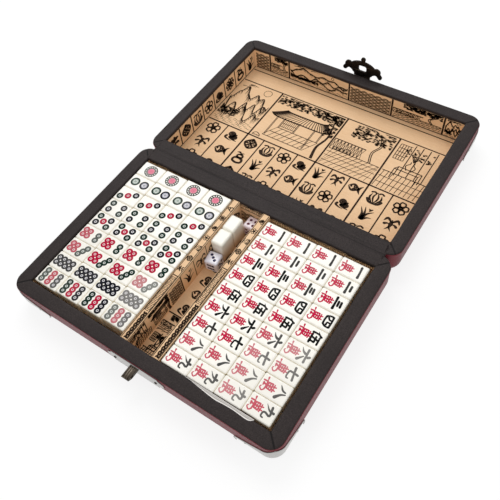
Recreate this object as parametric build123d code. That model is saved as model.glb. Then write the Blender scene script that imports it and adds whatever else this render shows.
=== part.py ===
"""Travel mahjong set in a book-shaped case, shown open with its tiles in place.

Frame: origin at the centre of the base's underside, +X along the hinge, +Y from the clasp side
towards the hinge, +Z up.  The lid lies open at half a turn, beside the base, as a second tray.
Millimetres.
"""
from build123d import *
from math import atan2, cos, degrees, radians, sin, sqrt
import os

# Tiles, in two layers of two blocks; the case is built round them
tile_length = 22.1
tile_width = 15.3
tile_thickness = 11.4
tile_edge_radius = 1.2
tile_gap = 0.1
layer_gap = 0.05
block_columns = 4
block_rows = 9
wind_count = 16               # lower right layer, from the front: winds, dragons, then flowers
dragon_count = 12
tile_drop = 1.1               # tops of the upper tiles below the rim
left_block_clearance = 0.7    # from the left wall to the first tile
left_divider_clearance = 1.0  # from the left block to its divider
right_block_clearance = 0.9   # from the right divider to the first tile
right_wall_clearance = 2.0    # from the right block to the right wall
left_block_front = 2.25       # from the front wall to the left block
left_block_back = 0.9         # from the left block to the back wall
left_column_step = 0.65       # how far each column lies behind the one on its left
right_block_front = 0.6
right_column_step = 0.42

# Dividers of the base and the compartment between them
divider_thickness = 6.6
divider_drop = 1.0            # top of a divider below the rim
centre_width = 22.4           # between the two dividers

# Case
rim_gap = 0.3                 # space between the two rims when the case is shut
rim_width = 11.2              # the dark band seen round each tray
corner_radius = 10.5          # upright corners
belly_radius = 10.0           # outer lower edges of the two halves
rim_edge_radius = 0.5
fold_gap = 2.7                # hinge band between the two halves when open
wrap_thickness = 0.7          # leatherette
lining_thickness = 0.7        # printed paper on card
base_floor_thickness = 3.0    # wrap, board and lining together
lid_panel_thickness = 3.4
rim_lip_depth = 3.0           # how far the dark trim turns down inside the tray
rim_lip_outside = 1.2         # and over its outer edge
opening_corner_radius = 0.8
bottom_sheet_margin = 0.5     # from the belly's rounding to the sheet under the case
bottom_sheet_radius = 2.0

# Hinge band
hinge_band_end = 9.0          # how far it stops short of the case's ends
fold_bevel = 0.35

# Spare tiles and dice of the centre compartment
spare_clearance = 0.2         # from the left divider to the spare tiles
spare_gap = 0.1
spare_die_clearance = 0.24    # from the back die to the spare tiles
die_size = 11.8
die_edge_radius = 1.7
die_wall_clearance = 0.2
front_die_turn = 8.0          # degrees about the upright
back_die_turn = -1.0
back_die_offset = 3.0         # from the spare tiles' right side to the back die's centre

# Corner caps
cap_thickness = 0.5
cap_reach = 34.0              # along each side from the corner
cap_top_drop = 4.6            # below the rim at the corner
cap_foot = 2.0                # lowest point above the table
cap_tail_height = 10.5        # height of the cap's upper edge at its far end
cap_tail_low = 5.0            # and of its lower edge there
cap_tail_round = 2.1          # how far the end bulges
cap_knee_reach = 15.3         # middle of the swept edge, from the far end
cap_knee_height = 14.5
cap_sole_start = 17.0         # where the lower edge reaches the foot, from the far end
cap_nail_radius = 1.1
cap_nail_height = 0.6
cap_nail_reach = 24.5

# Strike plate and staple on the base
clasp_x = 3.0                 # centre line of the clasp
strike_half_length = 25.5
strike_half_height = 7.2
strike_thickness = 0.8
strike_drop = 10.0            # plate centre below the rim
strike_scallop_radius = 6.0
strike_scallop_out = 0.9      # scallop's centre beyond the plate's end
strike_scallop_up = 1.2       # and beyond its long edge
strike_nail_spread = 18.7
nail_radius = 1.3
nail_height = 0.8
staple_drop = 7.0             # staple centre below the rim
staple_width = 6.6
staple_half_height = 2.4
staple_length = 10.0
staple_edge_radius = 1.2
staple_straight = 3.0         # straight part of the staple's underside
staple_nose_back = 2.2        # middle of the rounded nose, back from the tip
staple_nose_low = 0.7         # and below the staple's centre line
staple_tip_rise = 0.9         # where the nose meets the tip, above the centre line
staple_tip_round = 1.4
staple_tip_bulge = 0.35
staple_tip_shoulder = 0.5
staple_eye_radius = 1.1
staple_eye_reach = 6.0
staple_eye_rise = 0.45
rib_count = 4
groove_width = 0.5
groove_depth = 0.35

# Hasp on the lid
hasp_thickness = 1.6
hasp_strike_gap = 0.3
hinge_line_drop = 3.7         # hasp pin below the lid's rim
hasp_pin_stand = 1.9          # pin centre in front of the lid's face
knuckle_radius = 1.7
hasp_pin_radius = 0.8
pin_clearance = 0.05
hasp_knuckle_half = 3.5
knuckle_gap = 0.3
mount_knuckle_length = 4.0
pin_overhang = 0.6
mount_half_width = 9.5
mount_plate_thickness = 0.8
mount_plate_drop = 16.0       # lower edge of the mount plate below the rim
mount_corner_radius = 3.0
mount_tab_depth = 2.0         # how far a knuckle's tab runs down into the plate
mount_nail_spread = 6.2
mount_nail_drop = 12.0
slot_clearance = 0.6          # all round the staple

# Outline of the hasp, from its pin outwards, for the right half
hasp_tongue_height = 3.0
hasp_foot_rise = 0.5          # foot above the knuckle
hasp_foot_half = 8.2
hasp_body_centre = 10.6
hasp_body_half_width = 13.4
hasp_body_half_height = 7.8
hasp_lobe_spread = 14.2
hasp_lobe_height = 11.6
hasp_lobe_radius = 3.7
hasp_tip_spread = 17.7
hasp_tip_height = 7.0
hasp_tip_radius = 2.1
hasp_arch_spread = 12.8
hasp_arch_height = 4.4
hasp_arch_radius = 3.2
hasp_neck_half = 1.9
hasp_neck_root = 1.0          # how far the neck runs into the body
hasp_finial_height = 20.7
hasp_finial_radius = 2.2

# Worked out from the sizes above
pitch_x = tile_length + tile_gap
pitch_y = tile_width + tile_gap
block_width = block_columns * pitch_x - tile_gap
block_depth = block_rows * pitch_y - tile_gap
left_bay = left_block_clearance + block_width + left_divider_clearance
right_bay = right_block_clearance + block_width + right_wall_clearance
opening_x = (left_bay + right_bay + centre_width) / 2 + divider_thickness
left_last_step = (block_columns - 1) * left_column_step
opening_y = (left_block_front + block_depth + left_last_step + left_block_back) / 2
case_width = 2 * (opening_x + rim_width)
case_depth = 2 * (opening_y + rim_width)
base_height = base_floor_thickness + 2 * (tile_thickness + layer_gap) + tile_drop
lid_height = base_height - rim_gap
fold_y = case_depth / 2 + fold_gap / 2
lid_centre_y = case_depth + fold_gap
hinge_band_length = case_width - 2 * hinge_band_end
bottom_sheet_inset = belly_radius + bottom_sheet_margin
left_divider_face = -opening_x + left_bay + divider_thickness
right_divider_face = left_divider_face + centre_width
far = 2 * (case_width + case_depth)


def block(x0, x1, y0, y1, z0, z1):
    """A plain block between two corners."""
    return Pos((x0 + x1) / 2, (y0 + y1) / 2, (z0 + z1) / 2) * Box(x1 - x0, y1 - y0, z1 - z0)


def rounded_prism(width, depth, radius, z0, z1):
    """An upright prism over a rectangle with round corners."""
    return Pos(0, 0, z0) * extrude(RectangleRounded(width, depth, radius), z1 - z0)


def half_envelope(height, inset):
    """Outer form of one half of the case, drawn in by inset: round upright corners and belly."""
    body = rounded_prism(case_width - 2 * inset, case_depth - 2 * inset,
                         corner_radius - inset, inset, height - inset)
    lower = body.edges().group_by(Axis.Z)[0]
    body = fillet(lower, belly_radius - inset)
    if inset == 0:
        body = fillet(body.edges().group_by(Axis.Z)[-1], rim_edge_radius)
    return body


def keep(shape, cutter):
    """The part of shape inside cutter."""
    return shape & cutter


def half_case(height, floor_thickness, hinge_side):
    """Boards, wrap, trim, lining and hinge band of one half, centred on its own middle.

    hinge_side is +1 where the hinge is at the half's +Y side and -1 where it is at -Y.
    """
    top = height
    lip = height - rim_lip_depth
    outer_lip = height - rim_lip_outside
    skin_top = height - wrap_thickness
    board_floor = floor_thickness - lining_thickness
    wall_x = opening_x + lining_thickness
    wall_y = opening_y + lining_thickness
    envelope = half_envelope(height, 0)
    core = half_envelope(height, wrap_thickness)
    opening = rounded_prism(2 * opening_x, 2 * opening_y, opening_corner_radius,
                            floor_thickness, top + 1)
    cavity = rounded_prism(2 * wall_x, 2 * wall_y, opening_corner_radius + lining_thickness,
                           board_floor, top + 1)
    tray = core - cavity

    pieces = {}
    pieces["floor_board"] = keep(core, block(-far, far, -far, far, 0, board_floor))
    walls = keep(tray, block(-far, far, -far, far, board_floor, top))
    pieces["hinge_board"] = keep(walls, y_side(hinge_side, wall_y))
    pieces["clasp_board"] = keep(walls, y_side(-hinge_side, wall_y))
    pieces["left_board"] = keep(walls, block(-far, -wall_x, -wall_y, wall_y, 0, top))
    pieces["right_board"] = keep(walls, block(wall_x, far, -wall_y, wall_y, 0, top))

    sheet = rounded_prism(case_width - 2 * bottom_sheet_inset, case_depth - 2 * bottom_sheet_inset,
                          bottom_sheet_radius, 0, wrap_thickness)
    pieces["bottom_wrap"] = sheet
    band_x = hinge_band_length / 2
    skin = envelope - core
    behind_band = keep(y_side(hinge_side, wall_y), block(-band_x, band_x, -far, far, 0, skin_top))
    side_zone = block(-far, far, -far, far, 0, outer_lip) + behind_band
    pieces["side_wrap"] = keep(skin, side_zone) - sheet

    band_zone = keep(y_side(hinge_side, opening_y), block(-band_x, band_x, -far, far, lip, top + 1))
    cap_strip = keep(envelope, block(-far, far, -far, far, outer_lip, top + 1)) - core - opening
    inner_lip = keep(cavity, block(-far, far, -far, far, lip, top)) - opening
    top_sheet = keep(cavity, block(-far, far, -far, far, skin_top, top)) - opening
    pieces["rim_trim"] = cap_strip + inner_lip + top_sheet - band_zone
    pieces["hinge_band"] = hinge_band(height, lip, skin_top, wall_y, hinge_side) - tray

    pieces["floor_lining"] = rounded_prism(2 * opening_x, 2 * opening_y, opening_corner_radius,
                                           board_floor, floor_thickness)
    lining_zone = block(-far, far, -far, far, board_floor, lip)
    floor_prism = rounded_prism(2 * opening_x, 2 * opening_y, opening_corner_radius, 0, top + 1)
    pieces["wall_lining"] = keep(cavity, lining_zone) - floor_prism
    return pieces


def y_side(side, distance):
    """Everything beyond distance on the +Y or the -Y side."""
    if side > 0:
        return block(-far, far, distance, far, -far, far)
    return block(-far, far, -far, -distance, -far, far)


def hinge_band(height, lip, skin_top, wall_y, side):
    """Half of the leatherette band: down the inner wall, over the rim, out to the fold."""
    with BuildLine() as profile_line:
        Polyline((opening_y, lip), (wall_y, lip), (wall_y, skin_top), (fold_y, skin_top),
                 (fold_y, height - fold_bevel), (fold_y - fold_bevel, height),
                 (opening_y, height), (opening_y, lip))
    profile = make_face(profile_line.line)
    band = extrude(Plane.YZ * profile, hinge_band_length / 2, both=True)
    if side < 0:
        band = mirror(band, Plane.XZ)
    return band


def divider(inner_face, side):
    """One partition of the base, from the front wall to the back wall."""
    outer_face = inner_face + side * divider_thickness
    low, high = sorted((inner_face, outer_face))
    return block(low, high, -opening_y, opening_y, base_floor_thickness,
                 base_height - divider_drop)


def corner_caps(height, hinge_side):
    """Two thin metal caps on the corners away from the hinge, each with a swept upper edge."""
    shell = half_envelope_outside(height) - half_envelope(height, 0)
    caps = []
    for side in (-1, 1):
        front_profile = cap_profile(height)
        reach_x = case_width / 2 - cap_reach
        reach_y = case_depth / 2 - cap_reach
        along_x = Pos(reach_x, 0, 0) * extrude(Plane.XZ * front_profile, far, both=True)
        along_y = Pos(0, reach_y, 0) * extrude(Plane.YZ * front_profile, far, both=True)
        cap = keep(keep(shell, along_x), along_y)
        if side < 0:
            cap = mirror(cap, Plane.YZ)
        if hinge_side > 0:
            cap = mirror(cap, Plane.XZ)
        caps.append(cap)
    return caps


def half_envelope_outside(height):
    """The outer form of a half grown by the thickness of a cap."""
    body = rounded_prism(case_width + 2 * cap_thickness, case_depth + 2 * cap_thickness,
                         corner_radius + cap_thickness, -cap_thickness, height)
    return fillet(body.edges().group_by(Axis.Z)[0], belly_radius + cap_thickness)


def cap_profile(height):
    """Side view of a cap, from its far end at 0 to past the corner."""
    top = height - cap_top_drop
    past = cap_reach + corner_radius
    tail_middle = (cap_tail_low + cap_tail_height) / 2
    with BuildLine() as edge:
        tail = ThreePointArc((cap_tail_round, cap_tail_low), (0.0, tail_middle),
                             (cap_tail_round, cap_tail_height))
        sweep = ThreePointArc(tail @ 1, (cap_knee_reach, cap_knee_height), (cap_reach, top))
        Polyline(sweep @ 1, (past, top), (past, cap_foot), (cap_sole_start, cap_foot), tail @ 0)
    return make_face(edge.line)


def cap_nails(height, hinge_side):
    """Two dome nails on each cap, one on each of its sides."""
    nails = []
    level = cap_tail_height
    face_y = -hinge_side * (case_depth / 2 + cap_thickness)
    for side in (-1, 1):
        x_near = side * (case_width / 2 - cap_nail_reach)
        y_near = -hinge_side * (case_depth / 2 - cap_nail_reach)
        x_face = side * (case_width / 2 + cap_thickness)
        nails.append(dome_nail((x_near, face_y, level), (0, -hinge_side, 0), cap_nail_radius,
                               cap_nail_height))
        nails.append(dome_nail((x_face, y_near, level), (side, 0, 0), cap_nail_radius,
                               cap_nail_height))
    return nails


def dome_nail(place, outward, radius, height):
    """A nail's round head standing on a face."""
    plane = Plane(origin=place, z_dir=outward)
    ball_radius = (radius * radius + height * height) / (2 * height)
    ball = Pos(0, 0, height - ball_radius) * Sphere(ball_radius)
    head = ball & (Pos(0, 0, height) * Box(4 * radius, 4 * radius, 2 * height))
    return plane * head


def strike_plate():
    """Plate on the base's front with scalloped ends."""
    outline = Rectangle(2 * strike_half_length, 2 * strike_half_height)
    for end in (-1, 1):
        for level in (-1, 1):
            bite_x = end * (strike_half_length + strike_scallop_out)
            bite_y = level * (strike_half_height + strike_scallop_up)
            outline -= Pos(bite_x, bite_y) * Circle(strike_scallop_radius)
    return front_piece(outline, strike_thickness, base_height - strike_drop)


def front_piece(outline, thickness, level):
    """Extrude an outline out of the base's front face, centred on the clasp line."""
    face = Plane(origin=(clasp_x, -case_depth / 2, level), x_dir=(1, 0, 0), z_dir=(0, -1, 0))
    return extrude(face * outline, thickness)


def staple():
    """Ribbed catch that the hasp drops over, with an eye for a small padlock."""
    reach = staple_length
    half = staple_half_height
    with BuildLine() as side_view:
        under = Line((0, -half), (staple_straight, -half))
        nose = ThreePointArc(under @ 1, (reach - staple_nose_back, -staple_nose_low),
                             (reach, staple_tip_rise))
        tip = ThreePointArc(nose @ 1, (reach - staple_tip_bulge, half - staple_tip_shoulder),
                            (reach - staple_tip_round, half))
        Polyline(tip @ 1, (0, half), (0, -half))
    profile = make_face(side_view.line)
    body = extrude(Plane.YZ * profile, staple_width / 2, both=True)
    section = RectangleRounded(staple_width, 2 * half, staple_edge_radius)
    body &= extrude(Plane.XZ * section, 2 * reach, both=True)
    eye_bar = Rot(0, 90, 0) * Cylinder(staple_eye_radius, 2 * staple_width)
    eye = Pos(0, staple_eye_reach, staple_eye_rise) * eye_bar
    body -= eye
    for index in range(1, rib_count):
        groove_x = (index / rib_count - 1 / 2) * staple_width
        body -= block(groove_x - groove_width / 2, groove_x + groove_width / 2, -half, 2 * reach,
                      half - groove_depth, 2 * half)
    face_y = -case_depth / 2 - strike_thickness
    return Pos(clasp_x, face_y, base_height - staple_drop) * mirror(body, Plane.XZ)


def strike_nails():
    """The two nails of the strike plate."""
    face_y = -case_depth / 2 - strike_thickness
    level = base_height - strike_drop
    return [dome_nail((clasp_x + side * strike_nail_spread, face_y, level), (0, -1, 0),
                      nail_radius, nail_height) for side in (-1, 1)]


# Places of the hasp on the open lid
lid_face_y = lid_centre_y + case_depth / 2
hasp_pin_y = lid_face_y + hasp_pin_stand
hasp_pin_z = lid_height - hinge_line_drop
hasp_inner_y = lid_face_y + strike_thickness + hasp_strike_gap
slot_height = hinge_line_drop + staple_drop + rim_gap


def hasp_outline():
    """Openwork cloud shape: foot, body, two drooping wings and a finial."""
    foot_low = knuckle_radius + hasp_foot_rise
    foot = Rectangle(2 * hasp_foot_half, hasp_body_centre - foot_low)
    shape = Pos(0, (foot_low + hasp_body_centre) / 2) * foot
    shape += Pos(0, hasp_body_centre) * Ellipse(hasp_body_half_width, hasp_body_half_height)
    for side in (-1, 1):
        shape += Pos(side * hasp_lobe_spread, hasp_lobe_height) * Circle(hasp_lobe_radius)
        run = hasp_tip_spread - hasp_lobe_spread
        rise = hasp_lobe_height - hasp_tip_height
        middle = Pos(side * (hasp_lobe_spread + run / 2), hasp_lobe_height - rise / 2)
        wing = Rectangle(2 * hasp_tip_radius, sqrt(run * run + rise * rise))
        shape += middle * Rot(0, 0, side * degrees(atan2(run, rise))) * wing
        shape += Pos(side * hasp_tip_spread, hasp_tip_height) * Circle(hasp_tip_radius)
    for side in (-1, 1):
        shape -= Pos(side * hasp_arch_spread, hasp_arch_height) * Circle(hasp_arch_radius)
    neck_low = hasp_body_centre + hasp_body_half_height - hasp_neck_root
    neck = Rectangle(2 * hasp_neck_half, hasp_finial_height - neck_low)
    shape += Pos(0, (neck_low + hasp_finial_height) / 2) * neck
    shape += Pos(0, hasp_finial_height) * Circle(hasp_finial_radius)
    slot_x = staple_width + 2 * slot_clearance
    slot_z = 2 * (staple_half_height + slot_clearance)
    slot_round = staple_edge_radius + slot_clearance
    shape -= Pos(0, slot_height) * RectangleRounded(slot_x, slot_z, slot_round)
    return shape


def hasp():
    """The hasp plate with its knuckle, standing up from the open lid as in the photograph."""
    plane = Plane(origin=(clasp_x, hasp_inner_y, hasp_pin_z), x_dir=(-1, 0, 0), z_dir=(0, 1, 0))
    plate = extrude(plane * hasp_outline(), hasp_thickness)
    tongue = block(clasp_x - hasp_knuckle_half, clasp_x + hasp_knuckle_half,
                   hasp_inner_y, hasp_inner_y + hasp_thickness,
                   hasp_pin_z, hasp_pin_z + hasp_tongue_height)
    knuckle = along_pin(clasp_x, hasp_knuckle_half, knuckle_radius)
    bore = along_pin(clasp_x, 4 * mount_half_width, hasp_pin_radius + pin_clearance)
    return plate + tongue + knuckle - bore


def along_pin(x, half_length, radius):
    """A round bar on the hasp's pin line."""
    return Pos(x, hasp_pin_y, hasp_pin_z) * Rot(0, 90, 0) * Cylinder(radius, 2 * half_length)


def hasp_mount():
    """Plate on the lid's front face with the two outer knuckles."""
    top = hasp_pin_z - knuckle_radius - knuckle_gap
    low = lid_height - mount_plate_drop
    outline = Pos(0, (top + low) / 2) * RectangleRounded(2 * mount_half_width, top - low,
                                                        mount_corner_radius)
    plane = Plane(origin=(clasp_x, lid_face_y, 0), x_dir=(-1, 0, 0), z_dir=(0, 1, 0))
    plate = extrude(plane * outline, mount_plate_thickness)
    inner = hasp_knuckle_half + knuckle_gap
    for side in (-1, 1):
        x = clasp_x + side * (inner + mount_knuckle_length / 2)
        half = mount_knuckle_length / 2
        plate += block(x - half, x + half, lid_face_y, lid_face_y + mount_plate_thickness,
                       top - mount_tab_depth, hasp_pin_z)
        plate += along_pin(x, half, knuckle_radius)
    return plate - along_pin(clasp_x, 4 * mount_half_width, hasp_pin_radius)


def hasp_pin():
    """The pin through the knuckles."""
    half = hasp_knuckle_half + knuckle_gap + mount_knuckle_length + pin_overhang
    return along_pin(clasp_x, half, hasp_pin_radius)


def mount_nails():
    """The two nails of the hasp's mount plate."""
    face_y = lid_face_y + mount_plate_thickness
    level = lid_height - mount_nail_drop
    return [dome_nail((clasp_x + side * mount_nail_spread, face_y, level), (0, 1, 0),
                      nail_radius, nail_height) for side in (-1, 1)]


def lying_tile():
    """One tile lying flat, its lower left front corner at the origin."""
    body = fillet(Box(tile_length, tile_width, tile_thickness).edges(), tile_edge_radius)
    return Pos(tile_length / 2, tile_width / 2, tile_thickness / 2) * body


def upright_tile():
    """One tile on its short end, thickness along X, its lower left front corner at the origin."""
    body = fillet(Box(tile_thickness, tile_width, tile_length).edges(), tile_edge_radius)
    return Pos(tile_thickness / 2, tile_width / 2, tile_length / 2) * body


# Places of the tiles
left_block_x = -opening_x + left_block_clearance
left_block = (left_block_x, -opening_y + left_block_front, left_column_step)
right_block_x = right_divider_face + divider_thickness + right_block_clearance
right_block = (right_block_x, -opening_y + right_block_front, right_column_step)
lower_layer_z = base_floor_thickness + layer_gap
upper_layer_z = lower_layer_z + tile_thickness + layer_gap


def block_tiles(tile, block, level, places):
    """Tiles of one block at the given (column, row) places."""
    block_x, block_y, step = block
    return [Pos(block_x + column * pitch_x, block_y + row * pitch_y + column * step, level) * tile
            for column, row in places]


def die(centre_x, centre_y, turn):
    """A die with rounded edges standing on the compartment's floor."""
    body = fillet(Box(die_size, die_size, die_size).edges(), die_edge_radius)
    return Pos(centre_x, centre_y, lower_layer_z + die_size / 2) * Rot(0, 0, turn) * body


def die_half_span(turn):
    """Half the width that a turned die takes up."""
    angle = radians(abs(turn))
    straight = die_size / 2 - die_edge_radius
    return straight * (cos(angle) + sin(angle)) + die_edge_radius


def all_nodes():
    """Every node's name with its solids, all in the frame of the whole set."""
    nodes = {}
    base = half_case(base_height, base_floor_thickness, 1)
    for name, solid in base.items():
        nodes["base_" + name] = [solid]
    nodes["base_corner_caps"] = corner_caps(base_height, 1)
    nodes["base_cap_nails"] = cap_nails(base_height, 1)
    nodes["left_divider"] = [divider(left_divider_face, -1)]
    nodes["right_divider"] = [divider(right_divider_face, 1)]
    nodes["strike_plate"] = [strike_plate()]
    nodes["strike_nails"] = strike_nails()
    nodes["lock_staple"] = [staple()]

    lid = half_case(lid_height, lid_panel_thickness, -1)
    lid["corner_caps"] = corner_caps(lid_height, -1)
    lid["cap_nails"] = cap_nails(lid_height, -1)
    for name, solids in lid.items():
        group = solids if isinstance(solids, list) else [solids]
        nodes["lid_" + name] = [Pos(0, lid_centre_y, 0) * solid for solid in group]
    nodes["hasp_mount"] = [hasp_mount()]
    nodes["hasp_pin"] = [hasp_pin()]
    nodes["hasp_nails"] = mount_nails()
    nodes["hasp"] = [hasp()]

    flat = lying_tile()
    for row in range(block_rows):
        rank = block_rows - row
        places = [(column, row) for column in range(block_columns)]
        nodes[f"circle_tiles_{rank}"] = block_tiles(flat, left_block, upper_layer_z, places)
        nodes[f"character_tiles_{rank}"] = block_tiles(flat, right_block, upper_layer_z, places)
    every = [(column, row) for row in range(block_rows) for column in range(block_columns)]
    nodes["bamboo_tiles"] = block_tiles(flat, left_block, lower_layer_z, every)
    honours = wind_count + dragon_count
    winds = every[:wind_count]
    dragons = every[wind_count:honours]
    flowers = every[honours:]
    nodes["wind_tiles"] = block_tiles(flat, right_block, lower_layer_z, winds)
    nodes["dragon_tiles"] = block_tiles(flat, right_block, lower_layer_z, dragons)
    nodes["flower_tiles"] = block_tiles(flat, right_block, lower_layer_z, flowers)

    back_die_room = die_wall_clearance + 2 * die_half_span(back_die_turn) + spare_die_clearance
    spare_front = opening_y - back_die_room - 2 * tile_width - spare_gap
    spare_x = left_divider_face + spare_clearance
    spare = upright_tile()
    nodes["spare_tiles"] = [Pos(spare_x, spare_front + index * (tile_width + spare_gap),
                                lower_layer_z) * spare for index in range(2)]
    front_x = left_divider_face + die_wall_clearance + die_half_span(front_die_turn)
    front_y = spare_front - die_wall_clearance - die_half_span(front_die_turn)
    nodes["front_die"] = [die(front_x, front_y, front_die_turn)]
    back_x = spare_x + tile_thickness + back_die_offset
    back_y = opening_y - die_wall_clearance - die_half_span(back_die_turn)
    nodes["back_die"] = [die(back_x, back_y, back_die_turn)]
    return nodes


def single_solids(shapes):
    """The plain solids of a list of shapes."""
    return [solid for shape in shapes for solid in shape.solids()]


if __name__ == "__main__":
    os.makedirs("parts", exist_ok=True)
    for name, shapes in all_nodes().items():
        solids = single_solids(shapes)
        part = solids[0] if len(solids) == 1 else Compound(children=solids)
        part.label = name
        export_step(part, f"parts/{name}.step")
        print(name, len(solids), round(sum(solid.volume for solid in solids), 1))
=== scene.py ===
import bmesh
import bpy
from math import cos, hypot, pi, radians, sin, sqrt
from mathutils import Matrix, Vector, noise
from random import Random


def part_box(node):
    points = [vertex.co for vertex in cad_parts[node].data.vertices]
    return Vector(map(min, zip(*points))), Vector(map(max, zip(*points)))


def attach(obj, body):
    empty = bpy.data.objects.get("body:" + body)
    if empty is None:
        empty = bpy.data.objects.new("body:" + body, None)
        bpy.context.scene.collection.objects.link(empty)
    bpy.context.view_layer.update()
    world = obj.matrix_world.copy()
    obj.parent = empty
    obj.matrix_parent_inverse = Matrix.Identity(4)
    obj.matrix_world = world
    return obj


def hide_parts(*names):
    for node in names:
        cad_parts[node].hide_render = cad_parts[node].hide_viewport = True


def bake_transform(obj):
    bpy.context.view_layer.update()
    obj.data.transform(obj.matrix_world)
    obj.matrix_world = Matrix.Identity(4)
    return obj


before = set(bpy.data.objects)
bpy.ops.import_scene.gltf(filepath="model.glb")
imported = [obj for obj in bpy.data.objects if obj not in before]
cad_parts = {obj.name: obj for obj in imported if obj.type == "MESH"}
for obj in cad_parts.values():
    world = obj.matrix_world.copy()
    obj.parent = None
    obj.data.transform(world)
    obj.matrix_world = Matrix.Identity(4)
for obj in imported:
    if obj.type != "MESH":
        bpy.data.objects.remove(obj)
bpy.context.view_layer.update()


# Camera
# It stands at the photograph's place, high over the base's front right corner, and looks
# across the open set towards the lid. The image is square.

def new_object(name, data):
    """An object in the scene."""
    thing = bpy.data.objects.new(name, data)
    bpy.context.collection.objects.link(thing)
    return thing


image_width = 500
focal_pixels = 593.54
camera_place = Vector((0.186375, -0.157038, 0.402491))
camera_right = Vector((0.83043, 0.55122, -0.08090))
camera_forward = Vector((-0.36390, 0.42672, -0.82794))

lens = bpy.data.cameras.new("camera")
lens.sensor_fit = "HORIZONTAL"
lens.sensor_width = 36.0
lens.lens = focal_pixels / image_width * lens.sensor_width
lens.clip_start = 0.01
lens.clip_end = 50.0
camera = new_object("camera", lens)
turn = Matrix((camera_right, camera_right.cross(camera_forward), -camera_forward)).transposed()
camera.matrix_world = Matrix.Translation(camera_place) @ turn.to_4x4()
bpy.context.scene.camera = camera
bpy.context.scene.view_settings.view_transform = "Standard"


# Table and light
# A plain white table, one broad soft lamp above and behind the left side, a weaker one in
# front, and an even white surround.

def feed(node, **values):
    """Sets a node's sockets, or links them to a socket or to another node's first output."""
    for label, value in values.items():
        label = label.replace("_", " ")
        socket = node.inputs[int(label) if label.isdigit() else label]
        if isinstance(value, bpy.types.Node):
            value = next(output for output in value.outputs if output.enabled)
        if isinstance(value, bpy.types.NodeSocket):
            node.id_data.links.new(value, socket)
        else:
            socket.default_value = value


def add_node(near, kind, **values):
    """A node in the same tree, of a shader kind unless its kind says Node; in_ names a socket."""
    node = near.id_data.nodes.new(kind if "Node" in kind else f"ShaderNode{kind}")
    for label, value in values.items():
        if label.startswith("in_"):
            feed(node, **{label[3:]: value})
        else:
            setattr(node, label, value)
    return node


def new_finish(name, colour, roughness, **values):
    """A material and its Principled shader, with the shader's plain values set."""
    finish = bpy.data.materials.new(name)
    finish.use_nodes = True
    finish.diffuse_color = (*colour, 1.0)
    shader = finish.node_tree.nodes["Principled BSDF"]
    feed(shader, Base_Color=(*colour, 1.0), Roughness=roughness, **values)
    return finish, shader


def ray_mask(near, first, second):
    """1 for two kinds of rays and 0 for all others."""
    path = add_node(near, "LightPath")
    return add_node(near, "Math", operation="MAXIMUM", in_0=path.outputs[first],
                    in_1=path.outputs[second])


table_half = 3.0
table_grey = 0.24
seen_white = 1.03
table_corners = [(x * table_half, y * table_half, 0) for x, y in ((-1, -1), (1, -1), (1, 1), (-1, 1))]
table_mesh = bpy.data.meshes.new("table_top")
table_mesh.from_pydata(table_corners, [], [(0, 1, 2, 3)])
new_object("table_top", table_mesh)
table_finish, shader = new_finish("table_white", (table_grey,) * 3, 0.9, Specular_IOR_Level=0.0)
seen = ray_mask(shader, "Is Camera Ray", "Is Glossy Ray")
feed(shader, Emission_Color=(1, 1, 1, 1), Emission_Strength=add_node(
    shader, "Math", operation="MULTIPLY", in_0=seen, in_1=seen_white - table_grey))
table_mesh.materials.append(table_finish)

surround = bpy.data.worlds.new("surround")
surround.use_nodes = True
bpy.context.scene.world = surround
sky = surround.node_tree.nodes["Background"]
seen = ray_mask(sky, "Is Camera Ray", "Is Transmission Ray")
feed(sky, Color=(1, 1, 1, 1), Strength=add_node(sky, "MapRange", in_Value=seen, in_To_Min=0.62,
                                                in_To_Max=1.0))

for name, place, size, power in (("main_lamp", (-0.55, 0.75, 1.25), 0.9, 9.0),
                                 ("front_lamp", (0.7, -0.9, 1.1), 1.0, 3.0)):
    data = bpy.data.lights.new(name, "AREA")
    data.shape = "SQUARE"
    data.size = size
    data.energy = power
    lamp = new_object(name, data)
    lamp.location = place
    towards_set = Vector((0, 0.08, 0)) - lamp.location
    lamp.rotation_euler = towards_set.to_track_quat("-Z", "Y").to_euler()


# Boards
# Both halves are trays of grey-brown board, glued at the corners. Leatherette and paper hide
# them, so only their cut edges could ever show.

def new_group(name, inputs, outputs, kind="ShaderNodeTree"):
    """A node group's input sockets by name, and its output node; an input may have a value."""
    group = bpy.data.node_groups.new(name, kind)
    for label, sort, *value in inputs:
        socket = group.interface.new_socket(label, in_out="INPUT", socket_type=f"NodeSocket{sort}")
        if value:
            socket.default_value = value[0]
    for label, sort in outputs:
        group.interface.new_socket(label, in_out="OUTPUT", socket_type=f"NodeSocket{sort}")
    return add_node(group, "NodeGroupInput").outputs, add_node(group, "NodeGroupOutput")


# Slow drift of tone: where the material is a little lighter or darker
given, drift = new_group("tone_drift", [
    ("Place", "Vector"), ("Patch Scale", "Float", 40.0), ("Speck Scale", "Float", 900.0),
    ("Specks", "Float", 0.3)], [("Drift", "Float")])
patches = add_node(drift, "TexNoise", in_Detail=3.0, in_Roughness=0.55, in_Vector=given["Place"],
                   in_Scale=given["Patch Scale"])
specks = add_node(drift, "TexNoise", in_Detail=2.0, in_Vector=given["Place"],
                  in_Scale=given["Speck Scale"])
feed(drift, Drift=add_node(drift, "Mix", data_type="FLOAT", in_Factor=given["Specks"],
                           in_A=patches, in_B=specks))


def mottled(name, colour, roughness, patch_scale, speck_scale, specks, **values):
    """A finish with its shader, the socket of the place on the object, and its drift mask."""
    finish, shader = new_finish(name, colour, roughness, **values)
    place = add_node(shader, "TexCoord").outputs["Object"]
    mask = add_node(shader, "Group", node_tree=drift.id_data, in_Place=place,
                    in_Patch_Scale=patch_scale, in_Speck_Scale=speck_scale, in_Specks=specks)
    return finish, shader, place, mask


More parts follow.
